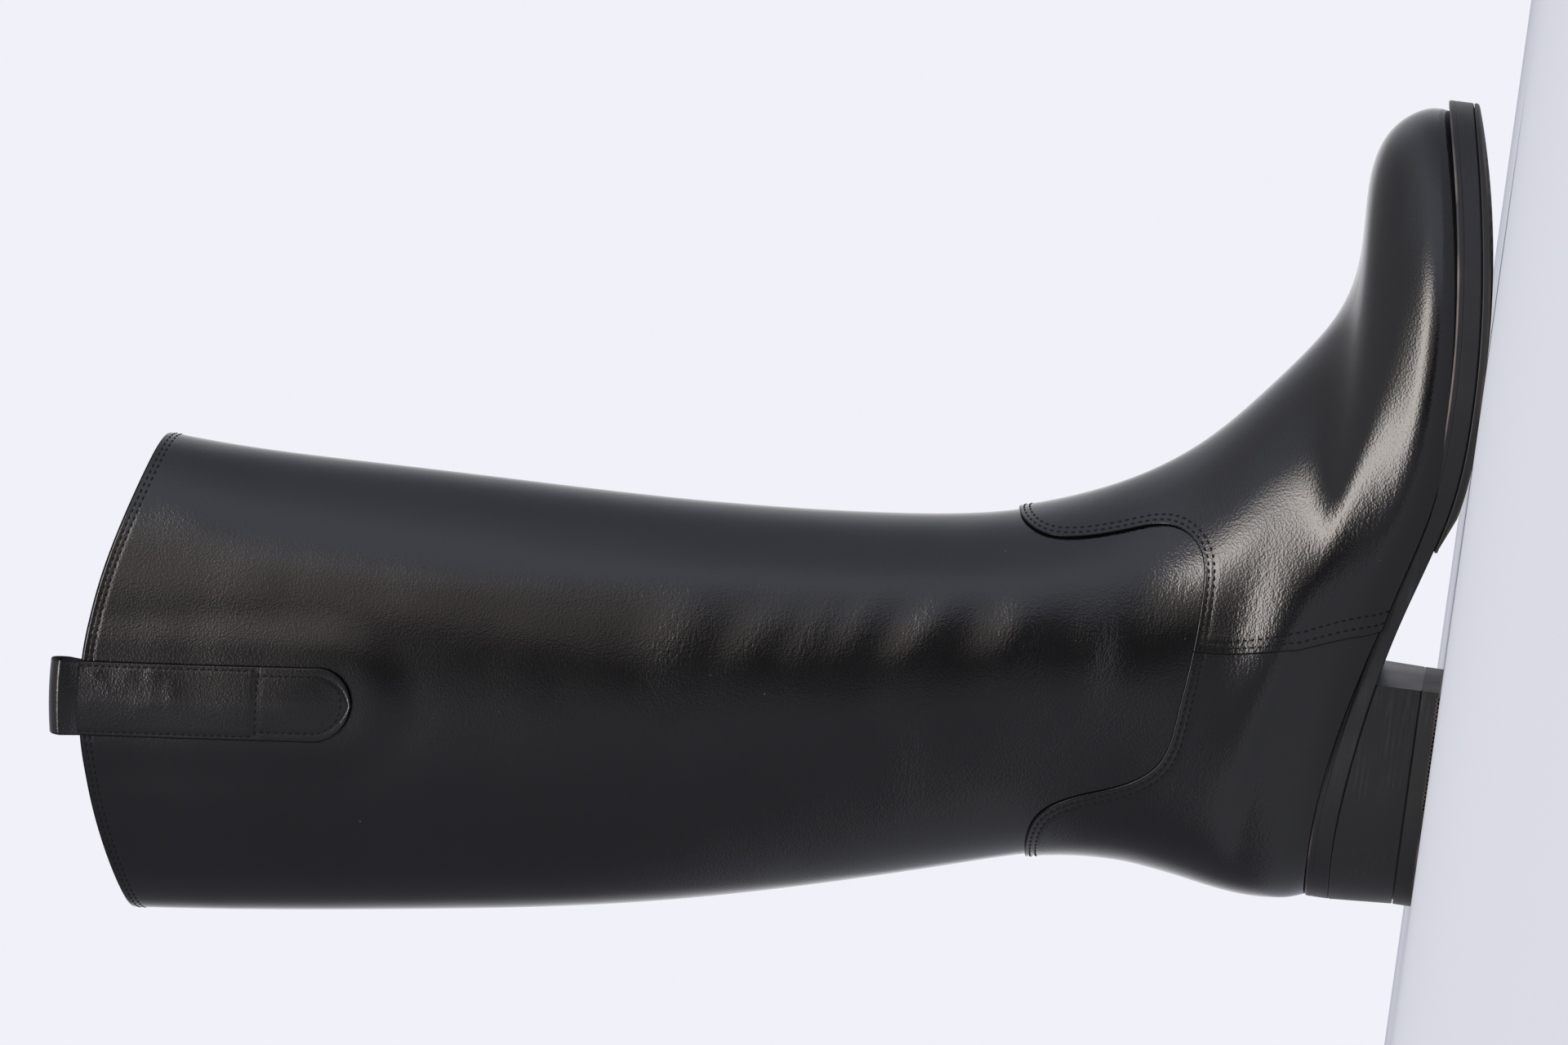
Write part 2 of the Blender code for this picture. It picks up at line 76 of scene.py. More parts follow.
# Spine of the upper, a row for each section from the feather edge to the collar
SPINE_COLUMNS = ("front_x", "front_z", "back_x", "back_z", "toe_swing", "sag", "side_rise")
SPINE = (
    (279.0, 25.1, 1.0, 37.6, 6.0, 1.00, 0.0),
    (279.5, 30.5, -1.2, 43.5, 6.0, 1.00, 0.0),
    (276.4, 37.6, -2.2, 49.5, 6.0, 0.97, 0.0),
    (267.9, 44.8, -2.6, 55.5, 5.8, 0.90, 0.0),
    (252.0, 48.0, -2.5, 61.5, 5.2, 0.75, 0.0),
    (229.0, 47.4, -2.0, 67.0, 4.4, 0.50, 0.0),
    (204.8, 52.7, -1.0, 74.0, 3.2, 0.28, 0.0),
    (179.4, 70.3, 0.7, 84.0, 2.0, 0.12, 0.0),
    (155.7, 91.4, 2.3, 96.0, 1.0, 0.04, 0.0),
    (137.5, 116.8, 2.9, 109.0, 0.4, 0.00, 0.0),
    (124.4, 147.8, 0.0, 134.0, 0.0, 0.00, 0.0),
    (115.6, 190.0, -13.0, 177.0, 0.0, 0.00, 0.0),
    (109.2, 270.0, -37.5, 264.0, 0.0, 0.00, 0.0),
    (107.0, 360.0, -55.0, 354.0, 0.0, 0.00, 1.5),
    (105.6, 430.0, -66.0, 424.0, 0.0, 0.00, 8.5),
    (106.8, 471.0, -71.5, 465.0, 0.0, 0.00, 16.5),
)
COLLAR_LEVEL = len(SPINE) - 1

# Half widths of some of those sections. Columns: section, outer heel, waist, ball and toe, inner toe, ball,
# waist and heel, and how much blunter than an ellipse the heel and the toe are.
GIRTH = (
    (0, 27.5, 30.0, 43.5, 29.5, 31.5, 42.0, 26.5, 28.0, 1.24, 1.12),
    (1, 28.8, 33.0, 46.0, 30.8, 32.8, 44.5, 30.5, 29.3, 1.24, 1.12),
    (2, 29.4, 34.5, 45.5, 30.0, 32.0, 43.5, 33.0, 29.4, 1.22, 1.10),
    (4, 29.4, 36.0, 41.0, 26.5, 28.0, 40.0, 35.5, 29.4, 1.15, 1.04),
    (6, 28.5, 36.5, 36.5, 23.0, 23.5, 36.0, 36.5, 28.5, 1.07, 1.00),
    (8, 26.5, 36.5, 35.5, 22.0, 22.0, 35.5, 36.5, 26.5, 1.00, 1.00),
    (10, 24.5, 36.0, 36.0, 23.0, 23.0, 36.0, 36.0, 24.5, 1.00, 1.00),
    (12, 23.5, 35.5, 35.0, 22.5, 22.5, 35.0, 35.5, 23.5, 1.00, 1.00),
    (15, 22.0, 33.0, 32.0, 21.0, 21.0, 32.0, 33.0, 22.0, 1.00, 1.00),
)
PLACES = 10

# Top edge of the sole band along the foot, and how far the band stands out. Columns: x, z, welt.
SOLE_LINE = (
    (0.0, 37.3, 1.6),
    (25.0, 37.8, 1.6),
    (50.0, 35.8, 1.8),
    (80.0, 31.1, 2.4),
    (105.0, 25.4, 3.2),
    (130.0, 18.2, 4.0),
    (150.0, 13.3, 4.6),
    (175.0, 11.1, 5.0),
    (205.0, 11.9, 5.0),
    (235.0, 15.4, 5.2),
    (260.0, 20.0, 5.2),
    (285.0, 25.9, 5.2),
)

# Upper edge of the foot pieces in the side view, from the front of the ankle round to the back: x, z
ANKLE_SEAM = (
    (150.0, 158.0),
    (122.0, 155.5),
    (117.0, 146.0),
    (117.6, 132.0),
    (124.0, 113.0),
    (127.0, 99.0),
    (121.0, 89.0),
    (106.0, 85.6),
    (85.5, 86.2),
    (62.0, 88.7),
    (44.5, 93.0),
    (35.0, 104.5),
    (27.5, 122.0),
    (18.5, 133.5),
    (2.0, 137.5),
    (-30.0, 139.0),
)

# Seam down each side from the ankle seam to the sole, where the vamp laps over the counter: x, z
SIDE_SEAM = (
    (85.5, 86.2),
    (86.4, 75.2),
    (91.0, 56.0),
    (102.5, 27.0),
)

# Leather thicknesses above the shaft's face, and how the edges and stitch lines shape them
VAMP_LIFT = 1.35
VAMP_THICKNESS = 1.4
COUNTER_LIFT = 1.0
COUNTER_THICKNESS = 0.95
LAP_LIFT = 0.65
LAP_REACH = 7.0
COUNTER_TUCK = 6.0
EDGE_ROUND = 0.5
EDGE_DROP = 0.30
CUT_EDGE = 0.45
GROOVE_DEPTH = 0.06
GROOVE_WIDTH = 0.80

# Stitching: the thread, and the distances of the rows from their edges
STITCH_PITCH = 2.65
STITCH_LENGTH = 1.75
STITCH_WIDTH = 0.85
STITCH_SINK = -0.08
STITCH_LEAN = 0.07
STITCH_RUN = 40
STITCH_SEED = 11
SEAM_ROWS = (1.8, 3.8)
COLLAR_ROWS = (2.4, 4.3)
STRAP_EDGE_ROW = 1.6
STRAP_BOX_ROW = 3.3
STRAP_CROSS_Z = 417.0

# Relief of the strap: the soft ridge along its middle and the seam across it
STRAP_ROOF = 0.7
STRAP_ROOF_SOFT = 0.01
STRAP_CROSS_DEPTH = 0.08
STRAP_CROSS_WIDTH = 0.9
STRAP_CROSS_FADE = 2.0
STRAP_CROSS_CHANGE = 1.5

# Puckers of the strap near the collar. Each has a distance from the sewn end, a place across the strap, a
# turn and a height, all drawn at random between a low and a high value.
PUCKER_LOW = (66.0, -3.0, 0.0, 0.015)
PUCKER_HIGH = (97.0, 12.0, math.pi, 0.045)
PUCKER_COUNT = 20
PUCKER_LENGTH = 4.6
PUCKER_WIDTH = 2.8
PUCKER_FADE = 3.0
PUCKER_CREASE = 7.0
PUCKER_SEED = 7

# Soft folds of the leather in the side view. Columns: x and z of the crest's middle, half length along the
# crest, half width across it, height (below zero for a trough), slant up towards the toe in degrees, and the
# side of the boot, -1 outer and 1 inner.
FOLDS = (
    (61.0, 266.0, 24.0, 10.0, 0.42, -14.0, -1),
    (66.0, 239.0, 21.0, 7.5, 0.42, -30.0, -1),
    (72.0, 219.0, 20.0, 6.5, 0.32, -20.0, -1),
    (78.0, 203.5, 20.0, 6.5, 0.42, -22.0, -1),
    (82.0, 177.5, 22.0, 8.0, 0.65, -25.0, -1),
    (86.0, 148.0, 17.0, 8.0, 0.45, -14.0, -1),
    (84.0, 121.0, 18.0, 7.5, 0.42, -4.0, -1),
    (35.0, 184.0, 24.0, 9.0, 0.22, 2.0, -1),
    (92.0, 225.0, 105.0, 9.0, 0.70, 98.0, -1),
    (92.0, 70.5, 34.0, 6.0, -0.20, -9.0, -1),
    (86.0, 57.0, 20.0, 7.5, 0.20, -8.0, -1),
    (40.0, 57.0, 22.0, 8.0, 0.55, 3.0, -1),
    (96.0, 50.0, 40.0, 23.0, 4.90, -12.0, -1),
    (131.0, 32.0, 48.0, 14.0, 1.40, -29.0, -1),
    (116.0, 104.0, 34.0, 22.0, -1.90, -16.0, -1),
    (97.0, 458.0, 24.0, 16.0, 1.10, 70.0, -1),
    (70.0, 250.0, 26.0, 10.0, 0.45, 14.0, 1),
    (76.0, 208.0, 24.0, 8.0, 0.50, 20.0, 1),
    (80.0, 172.0, 22.0, 8.0, 0.65, 18.0, 1),
    (84.0, 132.0, 20.0, 8.0, 0.45, 6.0, 1),
    (92.0, 70.5, 32.0, 6.5, -0.70, -8.0, 1),
)

# How soon the folds run out round the front and the back of the boot
FOLD_WRAP = 2.5

# Swelling of the shaft over the strap's backing, which shows as a soft rim round the strap: the ends of its
# middle line in the side view, its half width, its soft border, its height and the share of that at its tip
SWELL_TIP = (24.0, 391.0)
SWELL_TOP = (10.0, 490.0)
SWELL_RADIUS = 15.0
SWELL_SOFT = 17.0
SWELL_HEIGHT = 0.9
SWELL_TIP_SHARE = 0.9

# Flare of the collar at its sides: the level where it starts, and how far it opens out
FLARE_LEVEL = 13.4
FLARE = 0.9

# Fullness of the foot's walls just above the welt, and the slight hollow above that: heights and the levels
# over which they fade, and the stations between which the hollow runs out towards the toe
WELT_FULLNESS = 2.9
WELT_FADE = 2.0
HOLLOW_DEPTH = 0.8
HOLLOW_LEVEL = 4.5
HOLLOW_FADE = 1.9
HOLLOW_FULL = 120.0
HOLLOW_END = 172.0

# Tread: ribs across the forefoot inside a plain rim, and fine teeth across the front half of the heel
RIB_PITCH = 5.0
RIB_STEPS = 4
RIB_DEPTH = 0.8
RIB_LAND = 0.35
RIB_SLOPE = 3.0
RIM_SHARE = 0.1
RIM_BACK = 6.0
RIM_FRONT = 14.0
TOOTH_PITCH = 1.5
TOOTH_DEPTH = 0.75
FIRST_TOOTH = 40.0
LAST_TOOTH = HEEL_LENGTH - 1.2

# Joints of the sole: how far in the step lies that closes one, its height, and the stations between which the
# joint over the heel opens
JOINT_DEPTH = 1.6
JOINT_STEP = GAP - 0.02
JOINT_CLOSED = 12.0
JOINT_OPEN = 42.0

# Hollow of the insole under the heel: depth, half width as a share of the insole's, station and half length
SEAT_DEPTH = 0.9
SEAT_WIDTH = 0.3
SEAT_STATION = 30.0
SEAT_LENGTH = 45.0

# The ends of a sole piece that the layers of its wall belong to, and how much of a thin piece each may fill
TOP = 0
BOTTOM = 1
END_SHARE = 0.42

# How finely each piece is divided
SHAFT_AROUND = 216
SHAFT_HIDDEN_ROWS = 12
SHAFT_FOOT_LEVEL = 7.0
SHAFT_HEM_LEVEL = 14.75
SHAFT_TOP_LEVEL = COLLAR_LEVEL - 0.027
SHAFT_ROWS = 190
HEM_ROWS = 24
HEM_ROWS_INSIDE = 3
EDGE_TURNS = 9
LINING_ROWS = 110
HALF_COLUMNS = 120
COLUMN_LEAN = 0.2
FOOT_LEVEL = 0.03
EDGE_STEPS = (0.0, 0.12, 0.3, 0.5, 0.75, 1.05, 1.4, 1.8, 2.2, 2.6, 3.0, 3.4, 3.8, 4.2, 4.7, 5.4, 6.5, 8.0)
FOOT_ROWS = 58
PROBES = 90
SEAM_POINTS = 4000
STRAP_COLUMNS = 44
STRAP_EDGE_CROWDING = 1.5
STRAP_TIP_SPAN = 0.25
STRAP_TIP_ROWS = 30
STRAP_ROWS = 80
STRAP_LOOP_ROWS = 28
STRAP_INSIDE_ROWS = 24
STRAP_LINE_POINTS = 400
SOLE_STEPS = 150
SOLE_STRIPS = 16
TREAD_STRIPS = 20
HEEL_STRIPS = 8

# The step in level that gives the way up at the collar, and what counts as one point and as a sharp edge
UP_STEP = 0.05
MERGE_DISTANCE = 0.004
SHARP_ANGLE = math.radians(42)

# The photograph's camera in the model's metres, read from the heel, the ball and the toe
CAMERA_PLACE = (0.27327603, -1.53469862, 0.003)
CAMERA_RIGHT = (0.11791405, 0.16698623, -0.97888297)
CAMERA_UP = (0.9840331, 0.11269934, 0.13775964)
CAMERA_LENS = 100.0
CAMERA_SENSOR = 36.0
CAMERA_CLIP = (0.05, 50.0)

# Studio, in metres: half the floor's width, the point that the soft boxes face, and the boxes. Columns: name,
# azimuth from the outer side towards the toe, elevation, distance, size, radiance and colour.
FLOOR_HALF = 6.0
BOOT_MIDDLE = (0.05, 0.0, 0.18)
SOFT_BOXES = (
    ("key_soft_box", 5.0, 33.6, 8.0, (4.6, 1.3), 8.5, "#FFF6F0"),
    ("key_soft_rim", 4.0, 33.2, 8.1, (6.4, 2.3), 4.6, "#FFF6F0"),
    ("low_soft_box", 15.0, 19.0, 8.0, (2.2, 2.0), 0.65, "#FFF0E6"),
)

# Glow of the surroundings from the heel side, at 0, round to the toe side, at 1, in linear colour
SIDE_GLOW = (
    (0.0, (0.29, 0.28, 0.33)),
    (0.42, (0.36, 0.35, 0.41)),
    (0.49, (0.03, 0.03, 0.03)),
    (0.63, (0.03, 0.03, 0.03)),
    (0.735, (1.00, 1.05, 1.25)),
    (0.82, (1.10, 1.15, 1.35)),
    (1.0, (0.60, 0.63, 0.75)),
)
OVERHEAD_GLOW = (0.6, 0.6, 0.65, 1.0)


def spline(knots, values, at):
    """Natural cubic spline through values at knots, read at the places given."""
    knots = np.asarray(knots, float)
    values = np.asarray(values, float)
    at = np.asarray(at, float)
    spans = np.diff(knots)
    count = len(knots)
    system = np.eye(count)
    turn = np.zeros_like(values)
    for i in range(1, count - 1):
        system[i, i - 1 : i + 2] = spans[i - 1], 2 * (spans[i - 1] + spans[i]), spans[i]
        rise_after = (values[i + 1] - values[i]) / spans[i]
        rise_before = (values[i] - values[i - 1]) / spans[i - 1]
        turn[i] = 6 * (rise_after - rise_before)
    bend = np.linalg.solve(system, turn)
    i = np.clip(np.searchsorted(knots, at, side="right") - 1, 0, count - 2)
    shape = (-1,) + (1,) * (values.ndim - 1)
    span = spans[i].reshape(shape)
    b = (at - knots[i]).reshape(shape) / span
    a = 1 - b
    curve = ((a**3 - a) * bend[i] + (b**3 - b) * bend[i + 1]) * span**2 / 6
    return a * values[i] + b * values[i + 1] + curve


def run_along(points):
    """Distance along a line of points, from the first."""
    return np.concatenate([[0], np.cumsum(np.linalg.norm(np.diff(points, axis=0), axis=1))])


def smooth_line(points, count):
    """A smooth line through points, read at evenly spread places."""
    points = np.array(points, float)
    run = run_along(points)
    return spline(run, points, np.linspace(0, run[-1], count))


def sole_column(index, x):
    """A column of the sole line's table at station x."""
    line = np.array(SOLE_LINE)
    return spline(line[:, 0], line[:, index], x)


def sole_top(x):
    """Height of the sole band's top edge at station x."""
    return sole_column(1, x)


def sole_bottom(x):
    """Height of the sole band's underside, the band's thickness below its top along the slope."""
    step = 0.5
    slope = (sole_top(x + step) - sole_top(x - step)) / (2 * step)
    return sole_top(x) - BAND_THICKNESS * np.sqrt(1 + slope**2)


def tread(x):
    """Height of the forefoot's tread: flat at the ball, sprung at the toe, feathered out at the waist."""
    to_toe = np.clip((x - FLAT_END) / (SOLE_LENGTH - FLAT_END), 0, None)
    to_waist = np.clip((FLAT_START - x) / (FLAT_START - TREAD_BACK), 0, 1)
    height = TOE_SPRING * to_toe**2 + TREAD_BACK_RISE * to_waist**2
    feather_height = float(sole_bottom(np.array([TREAD_FEATHER]))[0]) - GAP - FEATHER_THICKNESS
    bevel = np.clip((TREAD_BACK - x) / (TREAD_BACK - TREAD_FEATHER), 0, 1)
    return height + bevel * (feather_height - TREAD_BACK_RISE)


def section(level):
    """Named spine values of the sections at these levels, 0 the feather edge and the last the collar."""
    values = spline(range(len(SPINE)), SPINE, level)
    return {name: values[:, i] for i, name in enumerate(SPINE_COLUMNS)}


def half_width(level, angle):
    """Ellipse half width at a section level and an angle, 0 at the back, a half turn at the front."""
    girth = np.array(GIRTH, float)
    named = spline(girth[:, 0], girth[:, 1:], level)
    half = PLACES // 2
    turn = math.tau / PLACES
    outer = named[:, : half - 1] / np.sin(np.arange(1, half) * turn)
    inner = named[:, half - 1 : PLACES - 2] / np.sin(np.arange(half - 1, 0, -1) * turn)
    heel_round, toe_round = named[:, -2:-1], named[:, -1:]
    back = heel_round * (outer[:, :1] + inner[:, -1:]) / 2
    front = toe_round * (outer[:, -1:] + inner[:, :1]) / 2
    controls = np.hstack([back, outer, front, inner])
    knots = np.arange(-PLACES, 2 * PLACES)
    weights = spline(knots, np.tile(np.eye(PLACES), (3, 1)), angle / turn)
    return (weights * controls).sum(axis=1)


def upper_point(level, angle):
    """Points of the upper's outer face. The outer side of the foot has angles up to a half turn."""
    at = section(level)
    along = (1 - np.cos(angle)) / 2
    x = at["back_x"] + along * (at["front_x"] - at["back_x"])
    y = at["toe_swing"] * along - np.sin(angle) * half_width(level, angle)
    feather = section(np.zeros(1))
    feather_x = feather["back_x"] + along * (feather["front_x"] - feather["back_x"])
    feather_z = feather["back_z"] + along * (feather["front_z"] - feather["back_z"])
    sag = sole_top(feather_x) + GAP - feather_z
    z = at["back_z"] + along * (at["front_z"] - at["back_z"])
    z = z + at["sag"] * sag + at["side_rise"] * np.abs(np.sin(angle)) ** 3
    return np.column_stack([x, y, z])


def unit(vectors):
    """The same vectors with a length of 1."""
    return vectors / np.linalg.norm(vectors, axis=1)[:, None]


def face_normal(level, angle):
    """Outward normals of the upper's face."""
    step = 0.002
    round_way = upper_point(level, angle + step) - upper_point(level, angle - step)
    up_way = upper_point(level + step, angle) - upper_point(level - step, angle)
    return unit(np.cross(round_way, up_way))


def off_face(level, angle, lift):
    """Points set out from the upper's face along its normal."""
    return upper_point(level, angle) + face_normal(level, angle) * np.reshape(lift, (-1, 1))


def outline_point(angle, margin):
    """Points of the foot's outline in plan, set out from the feather edge by margin along its normal."""
    level = np.zeros_like(angle)
    step = 0.001
    here = upper_point(level, angle)[:, :2]
    ahead = upper_point(level, angle + step)[:, :2] - upper_point(level, angle - step)[:, :2]
    normal = unit(np.column_stack([ahead[:, 1], -ahead[:, 0]]))
    return here + normal * np.reshape(margin, (-1, 1))


def welt_margin(angle):
    """How far the sole band stands out beyond the upper's wall at this angle."""
    return sole_column(2, upper_point(np.zeros_like(angle), angle)[:, 0])


def feather_ends():
    """Stations of the feather edge's back and front."""
    feather = section(np.zeros(1))
    return feather["back_x"][0], feather["front_x"][0]


def feather_angle(station):
    """Angle of the feather edge at stations along the foot."""
    back, front = feather_ends()
    return np.arccos(1 - 2 * np.clip((station - back) / (front - back), 0, 1))


def to_model(points):
    """Table millimetres to the model's metres, with the origin under the middle of the heel."""
    return (points - np.array([HEEL_LENGTH / 2, 0, 0])) * MM


def on_outer_face(line):
    """Levels and angles at which side-view points lie on the outer face."""
    low = np.zeros(len(line))
    high = np.full(len(line), float(COLLAR_LEVEL))
    halvings = 40
    for _ in range(halvings):
        level = (low + high) / 2
        at = section(level)
        share = (line[:, 0] - at["back_x"]) / (at["front_x"] - at["back_x"])
        angle = np.arccos(1 - 2 * np.clip(share, 0, 1))
        above = upper_point(level, angle)[:, 2] > line[:, 1]
        high = np.where(above, level, high)
        low = np.where(above, low, level)
    return level, angle


def seam_on_face(line):
    """Angles and levels of a side-view seam on the upper's face, in the order of the line."""
    level, angle = on_outer_face(smooth_line(line, SEAM_POINTS))
    inside = (angle > 0) & (angle < math.pi)
    return angle[inside], level[inside]


def ease(value):
    """Smooth step from 0 to 1."""
    value = np.clip(value, 0, 1)
    return value * value * (3 - 2 * value)


def bump(value):
    """Bell curve, 1 in its middle."""
    return np.exp(-(value**2))


def fold_relief(points, angle):
    """Height of the soft folds at points of the face, and how creased the leather is there, from 0 to 1."""
    outer = np.sin(angle)
    height = np.zeros(len(points))
    crease = np.zeros(len(points))
    for x, z, length, width, rise, slant, side in FOLDS:
        turn = math.radians(slant)
        dx, dz = points[:, 0] - x, points[:, 2] - z
        along = dx * math.cos(turn) + dz * math.sin(turn)
        across = dz * math.cos(turn) - dx * math.sin(turn)
        near = ease(-side * outer * FOLD_WRAP) * bump(along / length) * bump(across / width)
        height += rise * near
        crease = np.maximum(crease, near)
    return height, crease


def collar_bulge(level, angle):
    """How far the shaft's wall is set out over the strap's backing and at the sides of the flared collar."""
    points = upper_point(level, angle)
    start, end = np.array(SWELL_TIP), np.array(SWELL_TOP)
    way = end - start
    place = points[:, [0, 2]] - start
    share = np.clip(place @ way / (way @ way), 0, 1)
    distance = np.linalg.norm(place - share[:, None] * way, axis=1)
    height = SWELL_HEIGHT * (SWELL_TIP_SHARE + (1 - SWELL_TIP_SHARE) * share)
    swell = height * ease(1 - (distance - SWELL_RADIUS) / SWELL_SOFT) * (np.sin(angle) > 0)
    climb = np.clip((level - FLARE_LEVEL) / (COLLAR_LEVEL - FLARE_LEVEL), 0, None)
    return swell + FLARE * climb**2 * np.sin(angle) ** 2


def face_relief(level, angle):
    """Height of all soft forms of the leather over the upper's plain face, and how creased it is there."""
    points = upper_point(level, angle)
    folds, crease = fold_relief(points, angle)
    hollow = HOLLOW_DEPTH * ease((HOLLOW_END - points[:, 0]) / (HOLLOW_END - HOLLOW_FULL))
    fullness = WELT_FULLNESS * bump(level / WELT_FADE) - hollow * bump((level - HOLLOW_LEVEL) / HOLLOW_FADE)
    return folds + collar_bulge(level, angle) + fullness * np.sin(angle) ** 2, crease


def line_tree(points):
    """Search tree over the points of a line."""
    tree = kdtree.KDTree(len(points))
    for i, point in enumerate(points):
        tree.insert(Vector(point), i)
    tree.balance()
    return tree


def distance_to(tree, points):
    """Distance of each point from the line of a search tree."""
    return np.array([tree.find(Vector(point))[2] for point in points])


def groove(distance, rows):
    """Depth of the leather along rows of stitches, at a distance from the edge."""
    return -GROOVE_DEPTH * sum(bump((distance - row) / GROOVE_WIDTH) for row in rows)


def rounded_edge(distance):
    """How far the leather falls away at a distance from its edge."""
    return -EDGE_DROP * np.clip(1 - distance / EDGE_ROUND, 0, 1) ** 2


def cut_edge(distance):
    """How much of the dull cut edge shows at a distance from it, from 0 to 1."""
    return bump(distance / CUT_EDGE)


def close_up(shape):
    """Merges points that coincide, and takes out the faces that this leaves without area."""
    bmesh.ops.remove_doubles(shape, verts=shape.verts, dist=MERGE_DISTANCE * MM)
    bmesh.ops.dissolve_degenerate(shape, edges=shape.edges, dist=MERGE_DISTANCE / 2 * MM)


def placed_grid(points, tags, row_finish=None):
    """A grid primitive whose points go to an array of places. tags become values on its points, and
    row_finish is the material number of each row of faces."""
    across, along = points.shape[:2]
    shape = bmesh.new()
    bmesh.ops.create_grid(shape, x_segments=across - 1, y_segments=along - 1, size=1.0)
    if row_finish is not None:
        for face in shape.faces:
            row = int((face.calc_center_median().y + 1) / 2 * (along - 1))
            face.material_index = int(row_finish[row])
    layers = {name: shape.verts.layers.float.new(name) for name in tags}
    model = to_model(points.reshape(-1, 3)).reshape(points.shape)
    for vert in shape.verts:
        i = round((vert.co.x + 1) / 2 * (across - 1))
        j = round((vert.co.y + 1) / 2 * (along - 1))
        vert.co = model[i, j]
        for name, layer in layers.items():
            vert[layer] = tags[name][i, j]
    close_up(shape)
    return shape


def add_mesh(name, shape, finishes):
    """A new object with a shape's mesh and its finishes."""
    mesh = bpy.data.meshes.new(name)
    shape.to_mesh(mesh)
    shape.free()
    for finish in finishes:
        mesh.materials.append(finish)
    made = bpy.data.objects.new(name, mesh)
    bpy.context.scene.collection.objects.link(made)
    return made


def add_piece(name, shape, finishes, stands_for=None):
    """A finished piece of the boot, riding on its one body."""
    piece = add_mesh(name, shape, finishes)
    piece.data.shade_smooth()
    piece.data.set_sharp_from_angle(angle=SHARP_ANGLE)
    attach(piece, "root")
    if stands_for:
        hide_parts(stands_for)
    return piece


def thicken(piece, thickness):
    """Gives a sheet of leather its thickness, inwards from the face that shows."""
    wall = piece.modifiers.new("leather", "SOLIDIFY")
    wall.thickness = thickness * MM
    wall.offset = -1
    return piece


def wire(node, inputs):
    """Gives each of a node's inputs a value, or another node's output as a link."""
    for socket, value in inputs.items():
        if isinstance(value, bpy.types.NodeSocket):
            node.id_data.links.new(value, node.inputs[socket])
        else:
            node.inputs[socket].default_value = value


def add_node(tree, kind, output, inputs=None, **settings):
    """Adds a shader node with its settings and inputs, and returns one of its outputs."""
    made = tree.nodes.new("ShaderNode" + kind)
    for name, value in settings.items():
        setattr(made, name, value)
    wire(made, inputs or {})
    return made.outputs[output]


def paint(code):
    """Linear colour of an sRGB hex code."""
    parts = [int(code[i : i + 2], 16) / 255 for i in (1, 3, 5)]
    return (*[p / 12.92 if p <= 0.04045 else ((p + 0.055) / 1.055) ** 2.4 for p in parts], 1.0)


def per_metre(millimetres):
    """Scale of a pattern whose features are that far apart."""
    return 1.0 / (millimetres * MM)


def new_material(name):
    """A new material, its shader, and a function that adds nodes to it."""
    material = bpy.data.materials.new(name)
    material.use_nodes = True
    tree = material.node_tree
    return material, tree.nodes["Principled BSDF"], partial(add_node, tree)


def calf_leather(name, dark, light, gloss, dust_colour):
    """Polished black calf: dyed hide under a thin clear finish. The eye gets a deep black, soft highlights
    with a brighter core, a fine grain that sparkles at the edge of the highlights and breaks up in the
    folds, and a few specks of dust."""
    material, shader, node = new_material(name)
    place = node("TexCoord", "Object")
    crease = node("Attribute", "Fac", attribute_name="crease")
    edge = node("Attribute", "Fac", attribute_name="edge")
    # Grain cells of calf are about 0.4 mm. They are drawn at 0.75 mm so that they show.
    cells = {"Vector": place, "Scale": per_metre(0.75), "Smoothness": 0.4}
    grain = node("TexVoronoi", "Distance", cells, feature="SMOOTH_F1")
    # Fine wrinkles run round the shaft, about 1.2 mm apart and three times as long
    long = node("Mapping", "Vector", {"Vector": place, "Scale": (0.35, 0.35, 1.0)})
    wrinkle = node("TexNoise", "Fac", {"Vector": long, "Scale": per_metre(1.2), "Detail": 3.0})
    # The dye and the polish change slowly, over about 38 mm
    mottle = node("TexNoise", "Fac", {"Vector": place, "Scale": per_metre(38.0), "Detail": 3.0})
    tone = node("Mix", "Result", {"Factor": mottle, "A": paint(dark), "B": paint(light)}, data_type="RGBA")
    polish = {"Value": mottle, "From Min": 0.3, "From Max": 0.7, "To Min": gloss[0], "To Max": gloss[1]}
    rough = node("MapRange", "Result", polish)
    # Specks of dust, under a millimetre across and about 17 mm apart
    speck = node("TexVoronoi", "Distance", {"Vector": place, "Scale": per_metre(17.0)})
    cover = {"Value": speck, "From Min": 0.012, "From Max": 0.022, "To Min": 0.22, "To Max": 0.0}
    dust = node("MapRange", "Result", cover)
    colour = node("Mix", "Result", {"Factor": dust, "A": tone, "B": paint(dust_colour)}, data_type="RGBA")
    # The hide is never quite flat: slow swells about 45 mm apart
    swell = node("TexNoise", "Fac", {"Vector": place, "Scale": per_metre(45.0), "Detail": 1.0})
    grain_depth = node("Math", "Value", {0: crease, 1: 0.25, 2: 0.36}, operation="MULTIPLY_ADD")
    wrinkle_depth = node("Math", "Value", {0: crease, 1: 0.22, 2: 0.01}, operation="MULTIPLY_ADD")
    uneven = node("Bump", "Normal", {"Height": swell, "Strength": 1.0, "Distance": 0.7 * MM})
    grained = {"Height": grain, "Strength": grain_depth, "Distance": 0.07 * MM, "Normal": uneven}
    fine = node("Bump", "Normal", grained)
    wrinkled = {"Height": wrinkle, "Strength": wrinkle_depth, "Distance": 0.35 * MM, "Normal": fine}
    folded = node("Bump", "Normal", wrinkled)
    # The clear finish and the shine stop short of the cut edges
    shine = node("Math", "Value", {0: edge, 1: -0.1, 2: 0.12}, operation="MULTIPLY_ADD")
    coat = node("Math", "Value", {0: edge, 1: -0.78, 2: 0.8}, operation="MULTIPLY_ADD")
    wire(shader, {"Base Color": colour, "Roughness": rough, "Specular IOR Level": shine, "Normal": folded})
    wire(shader, {"Coat Weight": coat, "Coat Roughness": 0.15, "Coat Normal": folded})
    return material


